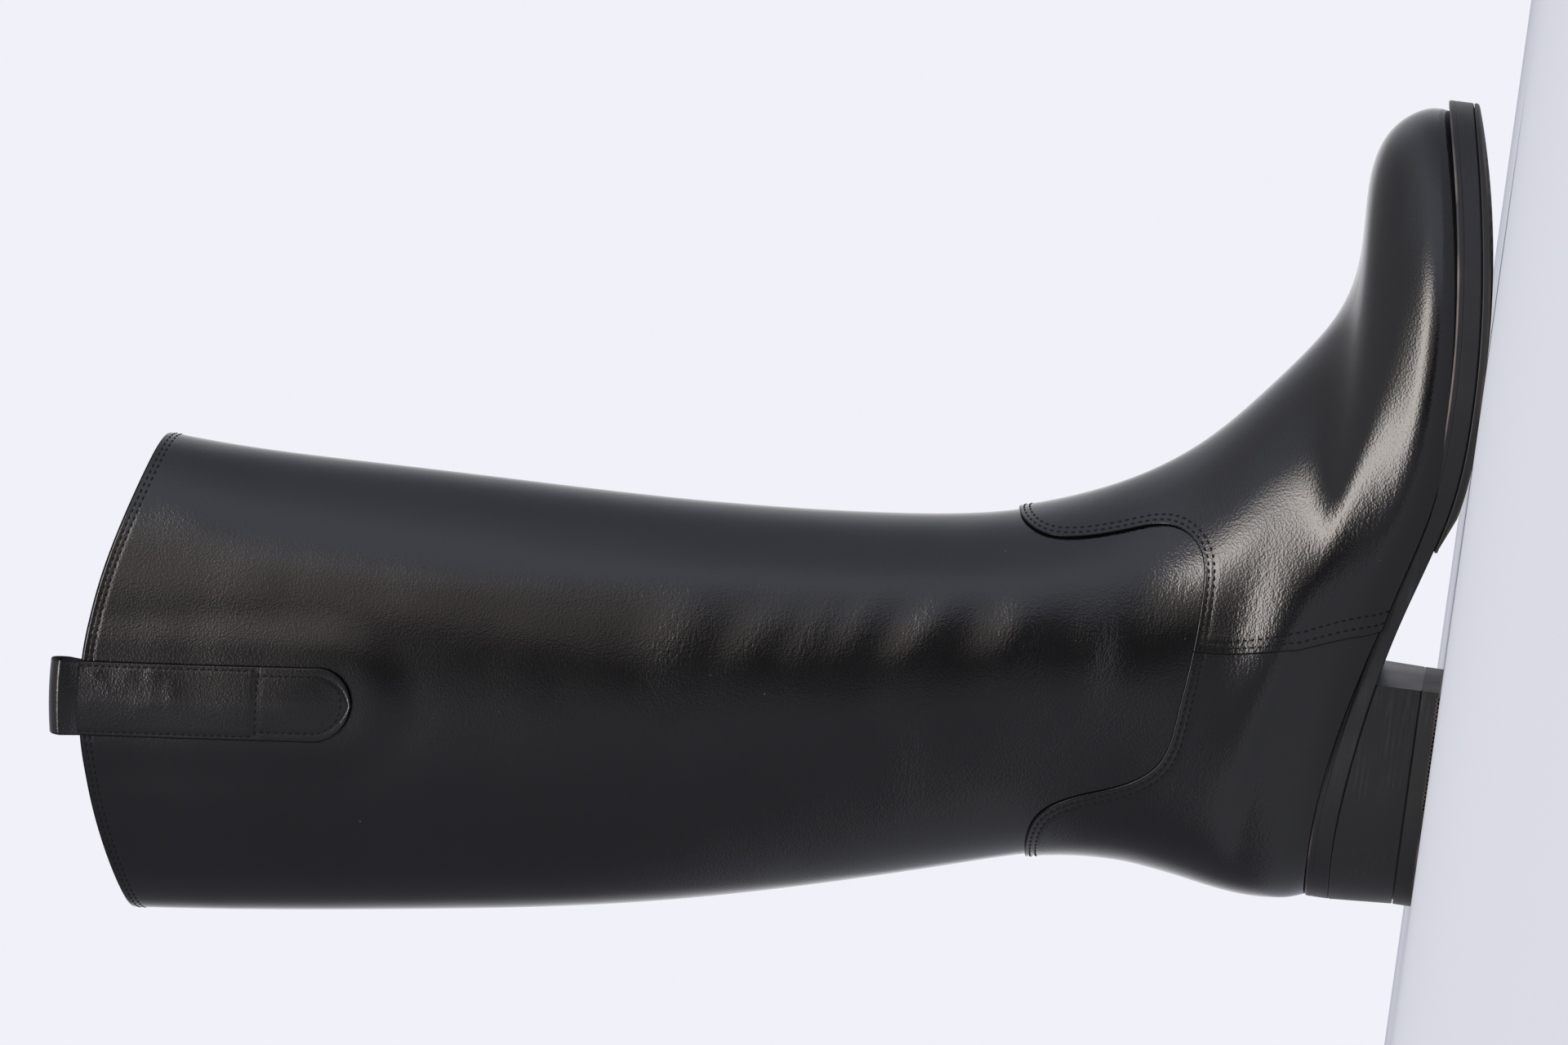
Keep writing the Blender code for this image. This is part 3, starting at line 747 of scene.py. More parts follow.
def moulded_rubber(name, dark, light, worn_and_lit_rim, gloss):
    """Moulded black rubber, buffed along its edge: satin, with faint scratches that run along the sole, a few
    grey rubs where it has touched things, and pale brown rims, partly wear and partly a painted highlight
    where the edges catch the light."""
    material, shader, node = new_material(name)
    place = node("TexCoord", "Object")
    rim_wear_and_highlight = node("Attribute", "Fac", attribute_name="rim_wear_and_highlight")
    # Scratches are hair-fine. They are drawn about 0.8 mm wide and 27 mm long so that they show.
    stretch = node("Mapping", "Vector", {"Vector": place, "Scale": (0.03, 0.2, 1.0)})
    scratch = node("TexNoise", "Fac", {"Vector": stretch, "Scale": per_metre(0.8), "Detail": 4.0})
    skin = node("TexNoise", "Fac", {"Vector": place, "Scale": per_metre(0.9), "Detail": 2.0})
    rub = node("TexNoise", "Fac", {"Vector": place, "Scale": per_metre(26.0), "Detail": 5.0})
    rubbed = node("MapRange", "Result", {"Value": rub, "From Min": 0.52, "From Max": 0.72})
    marks = node("MapRange", "Result", {"Value": scratch, "From Min": 0.5, "From Max": 0.78})
    shown = node("Math", "Value", {0: rubbed, 1: marks}, operation="MULTIPLY")
    marked = node("Mix", "Result", {"Factor": shown, "A": paint(dark), "B": paint(light)}, data_type="RGBA")
    # The rims get a pale brown, broken up by the rubs: partly wear, partly a painted highlight of the edges
    # that catch the light
    broken = node("MapRange", "Result", {"Value": rub, "From Min": 0.42, "From Max": 0.64, "To Min": 0.1})
    pale_rim_share = node("Math", "Value", {0: rim_wear_and_highlight, 1: broken}, operation="MULTIPLY")
    colour = node("Mix", "Result", {"Factor": pale_rim_share, "A": marked, "B": paint(worn_and_lit_rim)}, data_type="RGBA")
    satin = {"Value": rub, "From Min": 0.3, "From Max": 0.7, "To Min": gloss[0], "To Max": gloss[1]}
    rough = node("MapRange", "Result", satin)
    fine = node("Bump", "Normal", {"Height": skin, "Strength": 0.25, "Distance": 0.08 * MM})
    scratched = {"Height": scratch, "Strength": 0.1, "Distance": 0.1 * MM, "Normal": fine}
    lined = node("Bump", "Normal", scratched)
    wire(shader, {"Base Color": colour, "Roughness": rough, "Normal": lined})
    return material


def soft_leather(name, dark, light, cell):
    """Unpolished lining leather: matt, with a loose soft grain and a slightly uneven dye."""
    material, shader, node = new_material(name)
    place = node("TexCoord", "Object")
    grain = node("TexVoronoi", "Distance", {"Vector": place, "Scale": per_metre(cell)})
    dye = node("TexNoise", "Fac", {"Vector": place, "Scale": per_metre(24.0), "Detail": 4.0})
    colour = node("Mix", "Result", {"Factor": dye, "A": paint(dark), "B": paint(light)}, data_type="RGBA")
    fine = node("Bump", "Normal", {"Height": grain, "Strength": 0.4, "Distance": 0.15 * MM})
    wire(shader, {"Base Color": colour, "Roughness": 0.62, "Normal": fine})
    return material


def waxed_thread(name, dark, light):
    """Waxed black sewing thread: three strands twisted together, with a dull sheen."""
    material, shader, node = new_material(name)
    place = node("TexCoord", "Object")
    # Strands lie about 0.25 mm apart. They are drawn at 0.5 mm so that they show.
    strand = node("TexNoise", "Fac", {"Vector": place, "Scale": per_metre(0.5), "Detail": 2.0})
    colour = node("Mix", "Result", {"Factor": strand, "A": paint(dark), "B": paint(light)}, data_type="RGBA")
    twist = node("Bump", "Normal", {"Height": strand, "Strength": 0.5, "Distance": 0.1 * MM})
    wire(shader, {"Base Color": colour, "Roughness": 0.7, "Specular IOR Level": 0.25, "Normal": twist})
    return material


def make_shaft(leather, lining):
    """The upper's lined wall: the shaft's face with its folds, a turned collar edge, and the lining."""
    outside = np.concatenate([
        np.linspace(0, SHAFT_FOOT_LEVEL, SHAFT_HIDDEN_ROWS)[:-1],
        np.linspace(SHAFT_FOOT_LEVEL, SHAFT_HEM_LEVEL, SHAFT_ROWS)[:-1],
        np.linspace(SHAFT_HEM_LEVEL, SHAFT_TOP_LEVEL, HEM_ROWS),
    ])
    inside = np.linspace(SHAFT_TOP_LEVEL, 0, LINING_ROWS)
    around = np.linspace(0, math.tau, SHAFT_AROUND + 1)

    level = np.tile(outside, len(around))
    angle = np.repeat(around, len(outside))
    relief, crease = face_relief(level, angle)
    collar = upper_point(np.full_like(angle, COLLAR_LEVEL), angle)
    below = np.linalg.norm(collar - upper_point(level, angle), axis=1)
    face = off_face(level, angle, relief + groove(below, COLLAR_ROWS)).reshape(len(around), len(outside), 3)
    crease = crease.reshape(len(around), len(outside))

    turns = np.linspace(0, math.pi, EDGE_TURNS)[1:-1]
    at_edge = np.full_like(around, SHAFT_TOP_LEVEL)
    out = face_normal(at_edge, around)
    up = unit(upper_point(at_edge, around) - upper_point(at_edge - UP_STEP, around))
    middle = off_face(at_edge, around, face_relief(at_edge, around)[0] - WALL / 2)
    edge = np.stack([middle + WALL / 2 * (math.cos(t) * out + math.sin(t) * up) for t in turns], axis=1)

    level, angle = np.tile(inside, len(around)), np.repeat(around, len(inside))
    back = off_face(level, angle, collar_bulge(level, angle) - WALL).reshape(len(around), len(inside), 3)
    points = np.concatenate([face, edge, back, face[:, :1]], axis=1)
    points[-1] = points[0]
    tags = {"crease": np.zeros(points.shape[:2]), "edge": np.zeros(points.shape[:2])}
    tags["crease"][:, : len(outside)] = crease
    tags["edge"][:, len(outside) :] = 1
    first_lining_row = len(outside) + len(turns) + HEM_ROWS_INSIDE
    row_finish = np.arange(points.shape[1] - 1) >= first_lining_row
    shape = placed_grid(points, tags, row_finish)
    return add_piece("shaft", shape, [leather, lining], "upper")


def seam_run(angle, level):
    """Distance along a seam on the upper's face, from its first point."""
    return run_along(upper_point(level, angle))


def foot_half(ankle_angle, ankle_level, side_angle, side_level, middle):
    """Angles and levels over half a foot piece, which has four sides: the ankle seam above, the side seam,
    the foot below and the boot's middle line. Columns are counted from the side seam and rows from the ankle
    seam. Both lie at set distances near those seams and evenly further on."""
    run = seam_run(ankle_angle, ankle_level)
    turned = np.abs(ankle_angle - ankle_angle[0])
    spread = (run / run[-1] + turned / turned[-1]) / 2
    near = np.interp(EDGE_STEPS, run, spread)
    across = np.concatenate([near, np.linspace(near[-1], 1, HALF_COLUMNS)[1:]])
    top = np.column_stack([np.interp(across, spread, line) for line in (ankle_angle, ankle_level)])
    reach = (top[:, 0] - top[0, 0]) / (middle - top[0, 0])
    # The columns lean away from the side seam on their way down, to stay inside the ankle seam's hollow
    lean = COLUMN_LEAN * np.sin(math.pi * reach) ** 2
    foot_angle = side_angle[-1] + (reach + lean) * (middle - side_angle[-1])
    foot = np.column_stack([foot_angle, np.full_like(foot_angle, FOOT_LEVEL)])
    side_share = seam_run(side_angle, side_level)
    side_share = side_share / side_share[-1]
    s = across[:, None, None]

    def place(down):
        side = np.stack([np.interp(down, side_share, line) for line in (side_angle, side_level)], -1)
        front = np.stack([np.full_like(down, middle), down * (FOOT_LEVEL - top[-1, 1]) + top[-1, 1]], -1)
        t = down[..., None]
        corners = (1 - s) * ((1 - t) * top[0] + t * foot[0]) + s * ((1 - t) * top[-1] + t * foot[-1])
        return (1 - s) * side + s * front + (1 - t) * top[:, None] + t * foot[:, None] - corners

    depth = np.linspace(0, 1, PROBES) ** 2
    probe = place(np.tile(depth, (len(across), 1)))
    points = upper_point(probe[..., 1].ravel(), probe[..., 0].ravel())
    seam = line_tree(upper_point(ankle_level, ankle_angle))
    gap = distance_to(seam, points).reshape(probe.shape[:2])
    gap[:, 0] = 0
    gap = np.maximum.accumulate(gap, axis=1)
    close = np.array([np.interp(EDGE_STEPS, g, depth) for g in gap])
    rest = close[:, -1:] + (1 - close[:, -1:]) * np.linspace(0, 1, FOOT_ROWS + 1)[1:]
    return place(np.hstack([close, rest]))


def both_sides(half, at_front):
    """Both sides of a foot piece from its outer half, in the order of rising angle."""
    inner = half.copy()
    if at_front:
        inner[..., 0] = math.tau - inner[..., 0]
        return np.concatenate([half, inner[-2::-1]])
    inner[..., 0] = -inner[..., 0]
    return np.concatenate([inner, half[-2::-1]])


def make_foot(leather):
    """Vamp and counter: leather over the shaft's foot, with rounded edges and stitch lines. Returns the lines
    of their stitches."""
    ankle_angle, ankle_level = (values[::-1] for values in seam_on_face(ANKLE_SEAM))
    side_angle, side_level = seam_on_face(SIDE_SEAM)
    tuck_angle, tuck_level = seam_on_face(np.array(SIDE_SEAM) + np.array([COUNTER_TUCK, 0.0]))
    side_level[-1] = tuck_level[-1] = FOOT_LEVEL
    ankle = line_tree(np.vstack([upper_point(ankle_level, turn) for turn in (ankle_angle, -ankle_angle)]))
    side = line_tree(np.vstack([upper_point(side_level, turn) for turn in (side_angle, -side_angle)]))

    front = ankle_angle > side_angle[0]
    front_angle = np.concatenate([side_angle[:1], ankle_angle[front], [math.pi]])
    front_level = np.concatenate([side_level[:1], ankle_level[front], ankle_level[-1:]])
    vamp = both_sides(foot_half(front_angle, front_level, side_angle, side_level, math.pi), True)

    back = ankle_angle < tuck_angle[0]
    back_angle = np.concatenate([tuck_angle[:1], ankle_angle[back][::-1], [0.0]])
    back_level = np.concatenate([ankle_level[back][-1:], ankle_level[back][::-1], ankle_level[:1]])
    tuck_level = np.minimum(tuck_level, back_level[0])
    counter = both_sides(foot_half(back_angle, back_level, tuck_angle, tuck_level, 0.0), False)

    def leather_face(place, lift, laps):
        """Points, normals and tags of a foot piece. The one that laps over the other ends at the side seam
        too, and is raised there."""
        angle, level = place[..., 0].ravel(), place[..., 1].ravel()
        points = upper_point(level, angle)
        relief, crease = face_relief(level, angle)
        rise = lift + relief
        gap = distance_to(ankle, points)
        if laps:
            to_side = distance_to(side, points)
            gap = np.minimum(gap, to_side)
            rise = rise + LAP_LIFT * bump(to_side / LAP_REACH)
        rise = rise + groove(gap, SEAM_ROWS) + rounded_edge(gap)
        normal = face_normal(level, angle)
        return points + normal * rise[:, None], normal, {"crease": crease, "edge": cut_edge(gap)}

    vamp_face = partial(leather_face, lift=VAMP_LIFT, laps=True)
    counter_face = partial(leather_face, lift=COUNTER_LIFT, laps=False)

    kinds = (
        ("vamp_leather", vamp, vamp_face, "vamp", VAMP_THICKNESS),
        ("counter_leather", counter, counter_face, "counter", COUNTER_THICKNESS),
    )
    for name, places, face, node, thickness in kinds:
        points, _, tags = face(places[:, ::-1])
        points = points.reshape(*places.shape[:2], 3)
        shape = placed_grid(points, {tag: values.reshape(places.shape[:2]) for tag, values in tags.items()})
        thicken(add_piece(name, shape, [leather], node), thickness)

    lines = []
    clear_of_edge, clear_of_ankle, clear_of_vamp = (EDGE_STEPS.index(d) for d in (0.75, 5.4, 6.5))
    for distance in SEAM_ROWS:
        k = EDGE_STEPS.index(distance)
        lines.append(vamp_face(vamp[clear_of_edge : len(vamp) - clear_of_edge, k])[:2])
        lines.append(counter_face(counter[clear_of_vamp : len(counter) - clear_of_vamp, k])[:2])
        for column in (k, len(vamp) - 1 - k):
            lines.append(vamp_face(vamp[column, clear_of_ankle:])[:2])
    return lines


def collar_lines():
    """Lines of the two rows of stitches round the collar."""
    around = np.linspace(0, math.tau, 2 * SHAFT_AROUND)
    probe = np.linspace(COLLAR_LEVEL, SHAFT_HEM_LEVEL, PROBES)
    points = upper_point(np.tile(probe, len(around)), np.repeat(around, PROBES)).reshape(-1, PROBES, 3)
    below = np.linalg.norm(points - points[:, :1], axis=2)
    lines = []
    for row in COLLAR_ROWS:
        level = np.array([np.interp(row, distances, probe) for distances in below])
        rise = groove(np.full_like(level, row), COLLAR_ROWS) + face_relief(level, around)[0]
        lines.append((off_face(level, around, rise), face_normal(level, around)))
    return lines


def strap_angle(level, across):
    """Angle on the upper's face at a distance across from the strap's middle line."""
    at = section(level)
    climb = (level - STRAP_TIP_LEVEL) / (COLLAR_LEVEL - STRAP_TIP_LEVEL)
    share = STRAP_TIP_SHARE + climb * (STRAP_COLLAR_SHARE - STRAP_TIP_SHARE)
    return np.arccos(1 - 2 * (share + across / (at["front_x"] - at["back_x"])))


def strap_tip_distance(level):
    """Distance up the shaft from the strap's sewn end."""
    side = np.full_like(level, math.pi / 2)
    tip = upper_point(np.full_like(level, STRAP_TIP_LEVEL), side)
    return np.linalg.norm(upper_point(level, side) - tip, axis=1)


def strap_half_width(level, inset=0.0):
    """Half width of the strap at a level, rounded off at its sewn end."""
    half = STRAP_WIDTH / 2
    drop = np.clip(half - strap_tip_distance(level), 0, half)
    return np.sqrt(np.clip((half - inset) ** 2 - drop**2, 0, None))


def strap_outside(level, across, rise):
    """Points and normals of the strap's showing face on the shaft."""
    angle = strap_angle(level, across)
    points = upper_point(level, angle)
    normal = face_normal(level, angle)
    lift = GAP + STRAP_THICKNESS + face_relief(level, angle)[0] + rise
    return points + normal * np.reshape(lift, (-1, 1)), normal


def strap_roof(from_tip, across):
    """Height of the strap's soft ridge along its middle, which runs out at the sewn end."""
    share = across / (STRAP_WIDTH / 2)
    return STRAP_ROOF * (1 - np.sqrt(share**2 + STRAP_ROOF_SOFT)) * ease(from_tip / STRAP_WIDTH)


def strap_relief(level, across, half, random):
    """Rounded edges, stitch lines, the cross seam and the rubbed, puckered leather near the collar."""
    to_edge = half - np.abs(across)
    from_tip = strap_tip_distance(level)
    from_cross = from_tip - strap_cross_distance()
    above = ease(from_cross / STRAP_CROSS_CHANGE + 0.5)
    rise = strap_roof(from_tip, across) + rounded_edge(to_edge) + above * groove(to_edge, (STRAP_EDGE_ROW,))
    rise = rise + (1 - above) * groove(to_edge, (STRAP_BOX_ROW,))
    rise = rise - STRAP_CROSS_DEPTH * bump(from_cross / STRAP_CROSS_WIDTH) * ease(to_edge / STRAP_CROSS_FADE)
    pucker = np.zeros_like(rise)
    for along, side, turn, size in random.uniform(PUCKER_LOW, PUCKER_HIGH, (PUCKER_COUNT, len(PUCKER_LOW))):
        du, dv = from_tip - along, across - side
        u = du * math.cos(turn) + dv * math.sin(turn)
        v = dv * math.cos(turn) - du * math.sin(turn)
        pucker += size * bump(u / PUCKER_LENGTH) * bump(v / PUCKER_WIDTH)
    tags = {"crease": np.clip(pucker * PUCKER_CREASE, 0, 1), "edge": cut_edge(to_edge)}
    return rise + pucker * ease(to_edge / PUCKER_FADE), tags


def strap_cross_distance():
    """Distance of the strap's cross seam from its sewn end."""
    levels = np.linspace(STRAP_TIP_LEVEL, COLLAR_LEVEL, PROBES)
    heights = upper_point(levels, strap_angle(levels, np.zeros_like(levels)))[:, 2]
    return float(np.interp(STRAP_CROSS_Z, heights, strap_tip_distance(levels)))


def make_pull_strap(leather):
    """The strap down the outer side, over the collar as a loop and down inside. Returns its stitch lines."""
    half = STRAP_WIDTH / 2
    share = np.linspace(-1, 1, STRAP_COLUMNS + 1)
    share = np.sign(share) * (1 - (1 - np.abs(share)) ** STRAP_EDGE_CROWDING)
    tip_rows = STRAP_TIP_LEVEL + STRAP_TIP_SPAN * np.linspace(0, 1, STRAP_TIP_ROWS) ** 2
    outside = np.concatenate([tip_rows, np.linspace(tip_rows[-1], COLLAR_LEVEL, STRAP_ROWS)[1:]])

    level = np.repeat(outside, len(share))
    half_here = strap_half_width(level)
    across = np.tile(share, len(outside)) * half_here
    rise, relief_tags = strap_relief(level, across, half_here, np.random.default_rng(PUCKER_SEED))
    face, _ = strap_outside(level, across, rise)
    face = face.reshape(len(outside), len(share), 3)

    at_collar = np.full_like(share, COLLAR_LEVEL)
    just_below = at_collar - UP_STEP
    angle = strap_angle(at_collar, share * half)
    out = face_normal(just_below, angle)
    up = unit(upper_point(at_collar, angle) - upper_point(just_below, angle))
    edge = upper_point(at_collar, angle) + out * face_relief(at_collar, angle)[0][:, None]
    middle_height = STRAP_LOOP_HEIGHT - STRAP_LOOP_RADIUS - STRAP_THICKNESS / 2
    middle = edge - out * WALL / 2 + up * middle_height
    radius = STRAP_LOOP_RADIUS + STRAP_THICKNESS / 2 + rounded_edge(half - np.abs(share * half))
    loop = [
        middle + radius[:, None] * (math.cos(t) * out + math.sin(t) * up)
        for t in np.linspace(0, math.pi, STRAP_LOOP_ROWS)
    ]
    inside = []
    for inner in np.linspace(COLLAR_LEVEL, STRAP_INSIDE_LEVEL, STRAP_INSIDE_ROWS):
        here = np.full_like(share, inner)
        turn = strap_angle(here, share * half)
        inside.append(off_face(here, turn, collar_bulge(here, turn) - (WALL + GAP + STRAP_THICKNESS)))
    points = np.concatenate([face, np.array(loop), np.array(inside)], axis=0)
    tags = {"crease": np.zeros(points.shape[:2]), "edge": np.zeros(points.shape[:2])}
    tags["edge"][:] = cut_edge(half - np.abs(share * half))
    for tag, values in relief_tags.items():
        tags[tag][: len(outside)] = values.reshape(len(outside), len(share))
    tags = {tag: values.T for tag, values in tags.items()}
    shape = placed_grid(points.transpose(1, 0, 2), tags)
    strap = add_piece("strap", shape, [leather], "pull_strap")
    thicken(strap, STRAP_THICKNESS)
    return strap_lines()


def strap_lines():
    """Lines of the strap's stitches: along both edges, across, and round the sewn end."""
    edge_points, straight_points, turn_points = 300, 60, 80
    clear_above, clear_below = 1.0, 1.2
    half = STRAP_WIDTH / 2
    levels = np.linspace(STRAP_TIP_LEVEL, COLLAR_LEVEL, STRAP_LINE_POINTS)
    from_tip = strap_tip_distance(levels)
    cross = strap_cross_distance()

    def sewn(away, across, depth):
        return strap_outside(np.interp(away, from_tip, levels), across, strap_roof(away, across) - depth)

    above = np.linspace(cross + clear_above, from_tip[-1], edge_points)
    inset = half - STRAP_EDGE_ROW
    lines = [sewn(above, np.full_like(above, side * inset), GROOVE_DEPTH) for side in (-1, 1)]
    across = np.linspace(-1, 1, straight_points) * inset
    lines.append(sewn(np.full_like(across, cross), across, STRAP_CROSS_DEPTH))
    radius = half - STRAP_BOX_ROW
    turn = np.linspace(-math.pi / 2, math.pi / 2, turn_points)
    straight = np.linspace(cross - clear_below, half, straight_points)
    away = np.concatenate([straight, half - radius * np.cos(turn), straight[::-1]])
    edge = np.full_like(straight, radius)
    lines.append(sewn(away, np.concatenate([-edge, radius * np.sin(turn), edge]), GROOVE_DEPTH))
    return lines


def stitch_places(places, normals, random):
    """Placing matrices of the stitches along a line on the leather."""
    run = run_along(places)
    count = max(int(run[-1] / STITCH_PITCH), 1)
    middles = (np.arange(count) + 0.5) * run[-1] / count
    reach = STITCH_LENGTH / 4

    def read(line, at):
        return np.column_stack([np.interp(at, run, column) for column in line.T])

    ends = zip(read(places, middles - reach), read(places, middles + reach))
    leans = random.normal(0, STITCH_LEAN, count)
    size = Matrix.Diagonal((STITCH_WIDTH / 2 * MM, STITCH_WIDTH / 2 * MM, STITCH_LENGTH / 2 * MM, 1.0))
    made = []
    for (start, end), normal, lean in zip(ends, read(normals, middles), leans):
        normal = Vector(normal).normalized()
        ahead = Vector(end - start).normalized()
        ahead = (ahead + normal.cross(ahead) * lean).normalized()
        turn = Matrix((normal.cross(ahead), normal, ahead)).transposed().to_4x4()
        middle = to_model((start + end) / 2 + np.array(normal) * STITCH_SINK)
        made.append(Matrix.Translation(middle) @ turn @ size)
    return made


def make_stitches(name, lines, thread):
    """Short sunk lengths of thread along lines on the leather, made in runs that are then joined."""
    random = np.random.default_rng(STITCH_SEED)
    places = [place for line in lines for place in stitch_places(*line, random)]
    shape = bmesh.new()
    for first in range(0, len(places), STITCH_RUN):
        part = bmesh.new()
        for place in places[first : first + STITCH_RUN]:
            bmesh.ops.create_uvsphere(part, u_segments=6, v_segments=5, radius=1.0, matrix=place)
        mesh = bpy.data.meshes.new("stitch_run")
        part.to_mesh(mesh)
        part.free()
        shape.from_mesh(mesh)
        bpy.data.meshes.remove(mesh)
    return add_piece(name, shape, [thread])


def sole_stack(stations, layers, strips):
    """A closed piece of the sole: a grid primitive extruded down through layers. Each layer has a margin by
    angle, a height by station and by share of the width, and how much pale rim colour it gets, partly wear
    and partly painted highlight."""
    shape = bmesh.new()
    # Pale rim colour on the points: partly wear, partly painted highlight
    worn_and_lit_rim = shape.verts.layers.float.new("rim_wear_and_highlight")
    bmesh.ops.create_grid(shape, x_segments=len(stations) - 1, y_segments=strips, size=1.0)
    angles = feather_angle(stations)
    faces = shape.faces[:]
    verts = shape.verts[:]
    shares = np.array([((vert.co.x + 1) / 2, (vert.co.y + 1) / 2) for vert in verts])

    def spot(vert):
        return tuple(np.round(vert.co, 9))

    for number, (margin, height, rim_wear_and_highlight) in enumerate(layers):
        if number:
            # A new point starts at its old one's spot, and takes over its shares of the length and width
            share_at = {spot(vert): share for vert, share in zip(verts, shares)}
            made = bmesh.ops.extrude_face_region(shape, geom=faces)["geom"]
            faces = [item for item in made if isinstance(item, bmesh.types.BMFace)]
            verts = [item for item in made if isinstance(item, bmesh.types.BMVert)]
            shares = np.array([share_at[spot(vert)] for vert in verts])
        angle = angles[np.rint(shares[:, 0] * (len(stations) - 1)).astype(int)]
        across = shares[:, 1]
        set_out = margin(angle)
        outer = outline_point(angle, set_out)
        inner = outline_point(math.tau - angle, set_out)
        plan = outer + across[:, None] * (inner - outer)
        points = to_model(np.column_stack([plan, height(plan[:, 0], across)]))
        for vert, point in zip(verts, points):
            vert.co = point
            vert[worn_and_lit_rim] = rim_wear_and_highlight
    close_up(shape)
    bmesh.ops.recalc_face_normals(shape, faces=shape.faces)
    return shape


def wall_layers(margins, heights, wall):
    """Layers of a sole piece from its top down. margins and heights give its top and its bottom. wall lists
    which of the two a layer belongs to, how far it is set in, how far it lies inside the piece, and for a
    pale rim how much of its colour it gets, which is partly wear and partly painted highlight."""
    layers = []
    for end, set_in, depth, *rim_wear_and_highlight in wall:

        def margin(angle, end=end, set_in=set_in):
            return margins[end](angle) - set_in

        def height(x, across, end=end, depth=depth):
            both = heights[TOP](x, across), heights[BOTTOM](x, across)
            room = END_SHARE * (both[TOP] - both[BOTTOM])
            inwards = 1 if end == BOTTOM else -1
            return both[end] + inwards * np.minimum(depth, room)

        layers.append((margin, height, sum(rim_wear_and_highlight)))
    return layers


def foot_stations():
    """Stations along the foot, closer together towards its ends."""
    back, front = feather_ends()
    return back + (1 - np.cos(np.linspace(0, math.pi, SOLE_STEPS + 1))) / 2 * (front - back)


def heel_margin(angle):
    """How far the heel's lower end stands out beyond the upper's wall."""
    return welt_margin(angle) - HEEL_TAPER


def saw(x, pitch):
    """Even zigzag along the foot, 1 at each pitch and 0 halfway."""
    return np.abs((x / pitch) % 1 - 0.5) * 2


def make_sole_band(rubber):
    """The band round the foot, with an upper rim painted pale brown, partly wear and partly painted
    highlight, and a fine line below it.
    """
    # A fourth number in a layer is its pale rim colour, partly wear and partly painted highlight
    wall = (
        (TOP, 0.9, 0.0), (TOP, 0.4, 0.05, 0.8), (TOP, 0.12, 0.28, 1.0), (TOP, 0.0, 0.7, 0.5), (TOP, 0.0, 1.0),
        (TOP, 0.0, 2.2), (TOP, 0.16, 2.45), (TOP, 0.0, 2.7),
        (BOTTOM, 0.0, 0.5), (BOTTOM, 0.15, 0.15), (BOTTOM, 0.5, 0.0),
    )
    heights = (lambda x, across: sole_top(x), lambda x, across: sole_bottom(x))
    layers = wall_layers((welt_margin, welt_margin), heights, wall)
    shape = sole_stack(foot_stations(), layers, SOLE_STRIPS)
    add_piece("sole_band", shape, [rubber], "midsole")


def make_forefoot_tread(rubber):
    """The forefoot's tread: shallow ribs across it, inside a plain rim."""
    front = feather_ends()[1]
    stations = np.append(np.arange(TREAD_FEATHER, front, RIB_PITCH / RIB_STEPS), front)

    def ribs(x, across):
        ribbed = (x > TREAD_BACK + RIM_BACK) & (x < front - RIM_FRONT)
        ribbed = ribbed & (np.minimum(across, 1 - across) > RIM_SHARE)
        return tread(x) + RIB_DEPTH * ribbed * ease((saw(x, RIB_PITCH) - RIB_LAND) * RIB_SLOPE)

    # A fourth number in a layer is its pale rim colour, partly wear and partly painted highlight
    wall = (
        (TOP, JOINT_DEPTH, -JOINT_STEP), (TOP, JOINT_DEPTH, 0.0),
        (TOP, 0.45, 0.0), (TOP, 0.12, 0.12), (TOP, 0.0, 0.45),
        (BOTTOM, 0.0, 0.9), (BOTTOM, 0.0, 0.6, 0.3), (BOTTOM, 0.2, 0.18, 0.6), (BOTTOM, 0.7, 0.0),
    )
    heights = (lambda x, across: sole_bottom(x) - GAP, ribs)
    layers = wall_layers((welt_margin, welt_margin), heights, wall)
    shape = sole_stack(stations, layers, TREAD_STRIPS)
    add_piece("forefoot_tread", shape, [rubber], "outsole")


def make_heel_stack(rubber):
    """The heel block: flush with the band at the back, where the joint closes up, and a fine line at the
    sides."""
    last_room = 1.0
    stations = foot_stations()
    stations = np.append(stations[stations < HEEL_LENGTH - last_room], HEEL_LENGTH)

    def heel_top(x, across):
        return sole_bottom(x) - GAP * ease((x - JOINT_CLOSED) / (JOINT_OPEN - JOINT_CLOSED))

    wall = (
        (TOP, JOINT_DEPTH, -JOINT_STEP), (TOP, JOINT_DEPTH, 0.0), (TOP, 0.2, 0.0), (TOP, 0.0, 0.2),
        (BOTTOM, 0.0, 0.3), (BOTTOM, 0.25, 0.0),
        (BOTTOM, JOINT_DEPTH, 0.0), (BOTTOM, JOINT_DEPTH, -JOINT_STEP),
    )
    heights = (heel_top, lambda x, across: np.full_like(x, LIFT_HEIGHT + GAP))
    layers = wall_layers((welt_margin, heel_margin), heights, wall)
    shape = sole_stack(stations, layers, HEEL_STRIPS)
    add_piece("heel_stack", shape, [rubber], "heel_block")


def make_heel_lift(rubber):
    """The heel's lift: fine teeth across the front half of its tread, which show as a serrated edge."""
    room_behind, play_behind, play_ahead = 0.3, 0.1, 0.2
    stations = foot_stations()
    plain = stations[stations < FIRST_TOOTH - room_behind]
    stations = np.concatenate([plain, np.arange(FIRST_TOOTH, LAST_TOOTH, TOOTH_PITCH / 2), [HEEL_LENGTH]])

    def teeth(x, across):
        toothed = (x > FIRST_TOOTH - play_behind) & (x < LAST_TOOTH + play_ahead)
        return TOOTH_DEPTH * toothed * (1 - saw(x - FIRST_TOOTH, TOOTH_PITCH))

    # A fourth number in a layer is its pale rim colour, partly wear and partly painted highlight
    wall = (
        (TOP, 0.25, 0.0), (TOP, 0.0, 0.25),
        (BOTTOM, 0.0, 0.8), (BOTTOM, 0.0, 0.35, 0.7), (BOTTOM, 0.3, 0.0, 0.7),
    )
    heights = (lambda x, across: np.full_like(x, LIFT_HEIGHT), teeth)
    layers = wall_layers((heel_margin, heel_margin), heights, wall)
    shape = sole_stack(stations, layers, HEEL_STRIPS)
    add_piece("heel_lift", shape, [rubber], "top_lift")


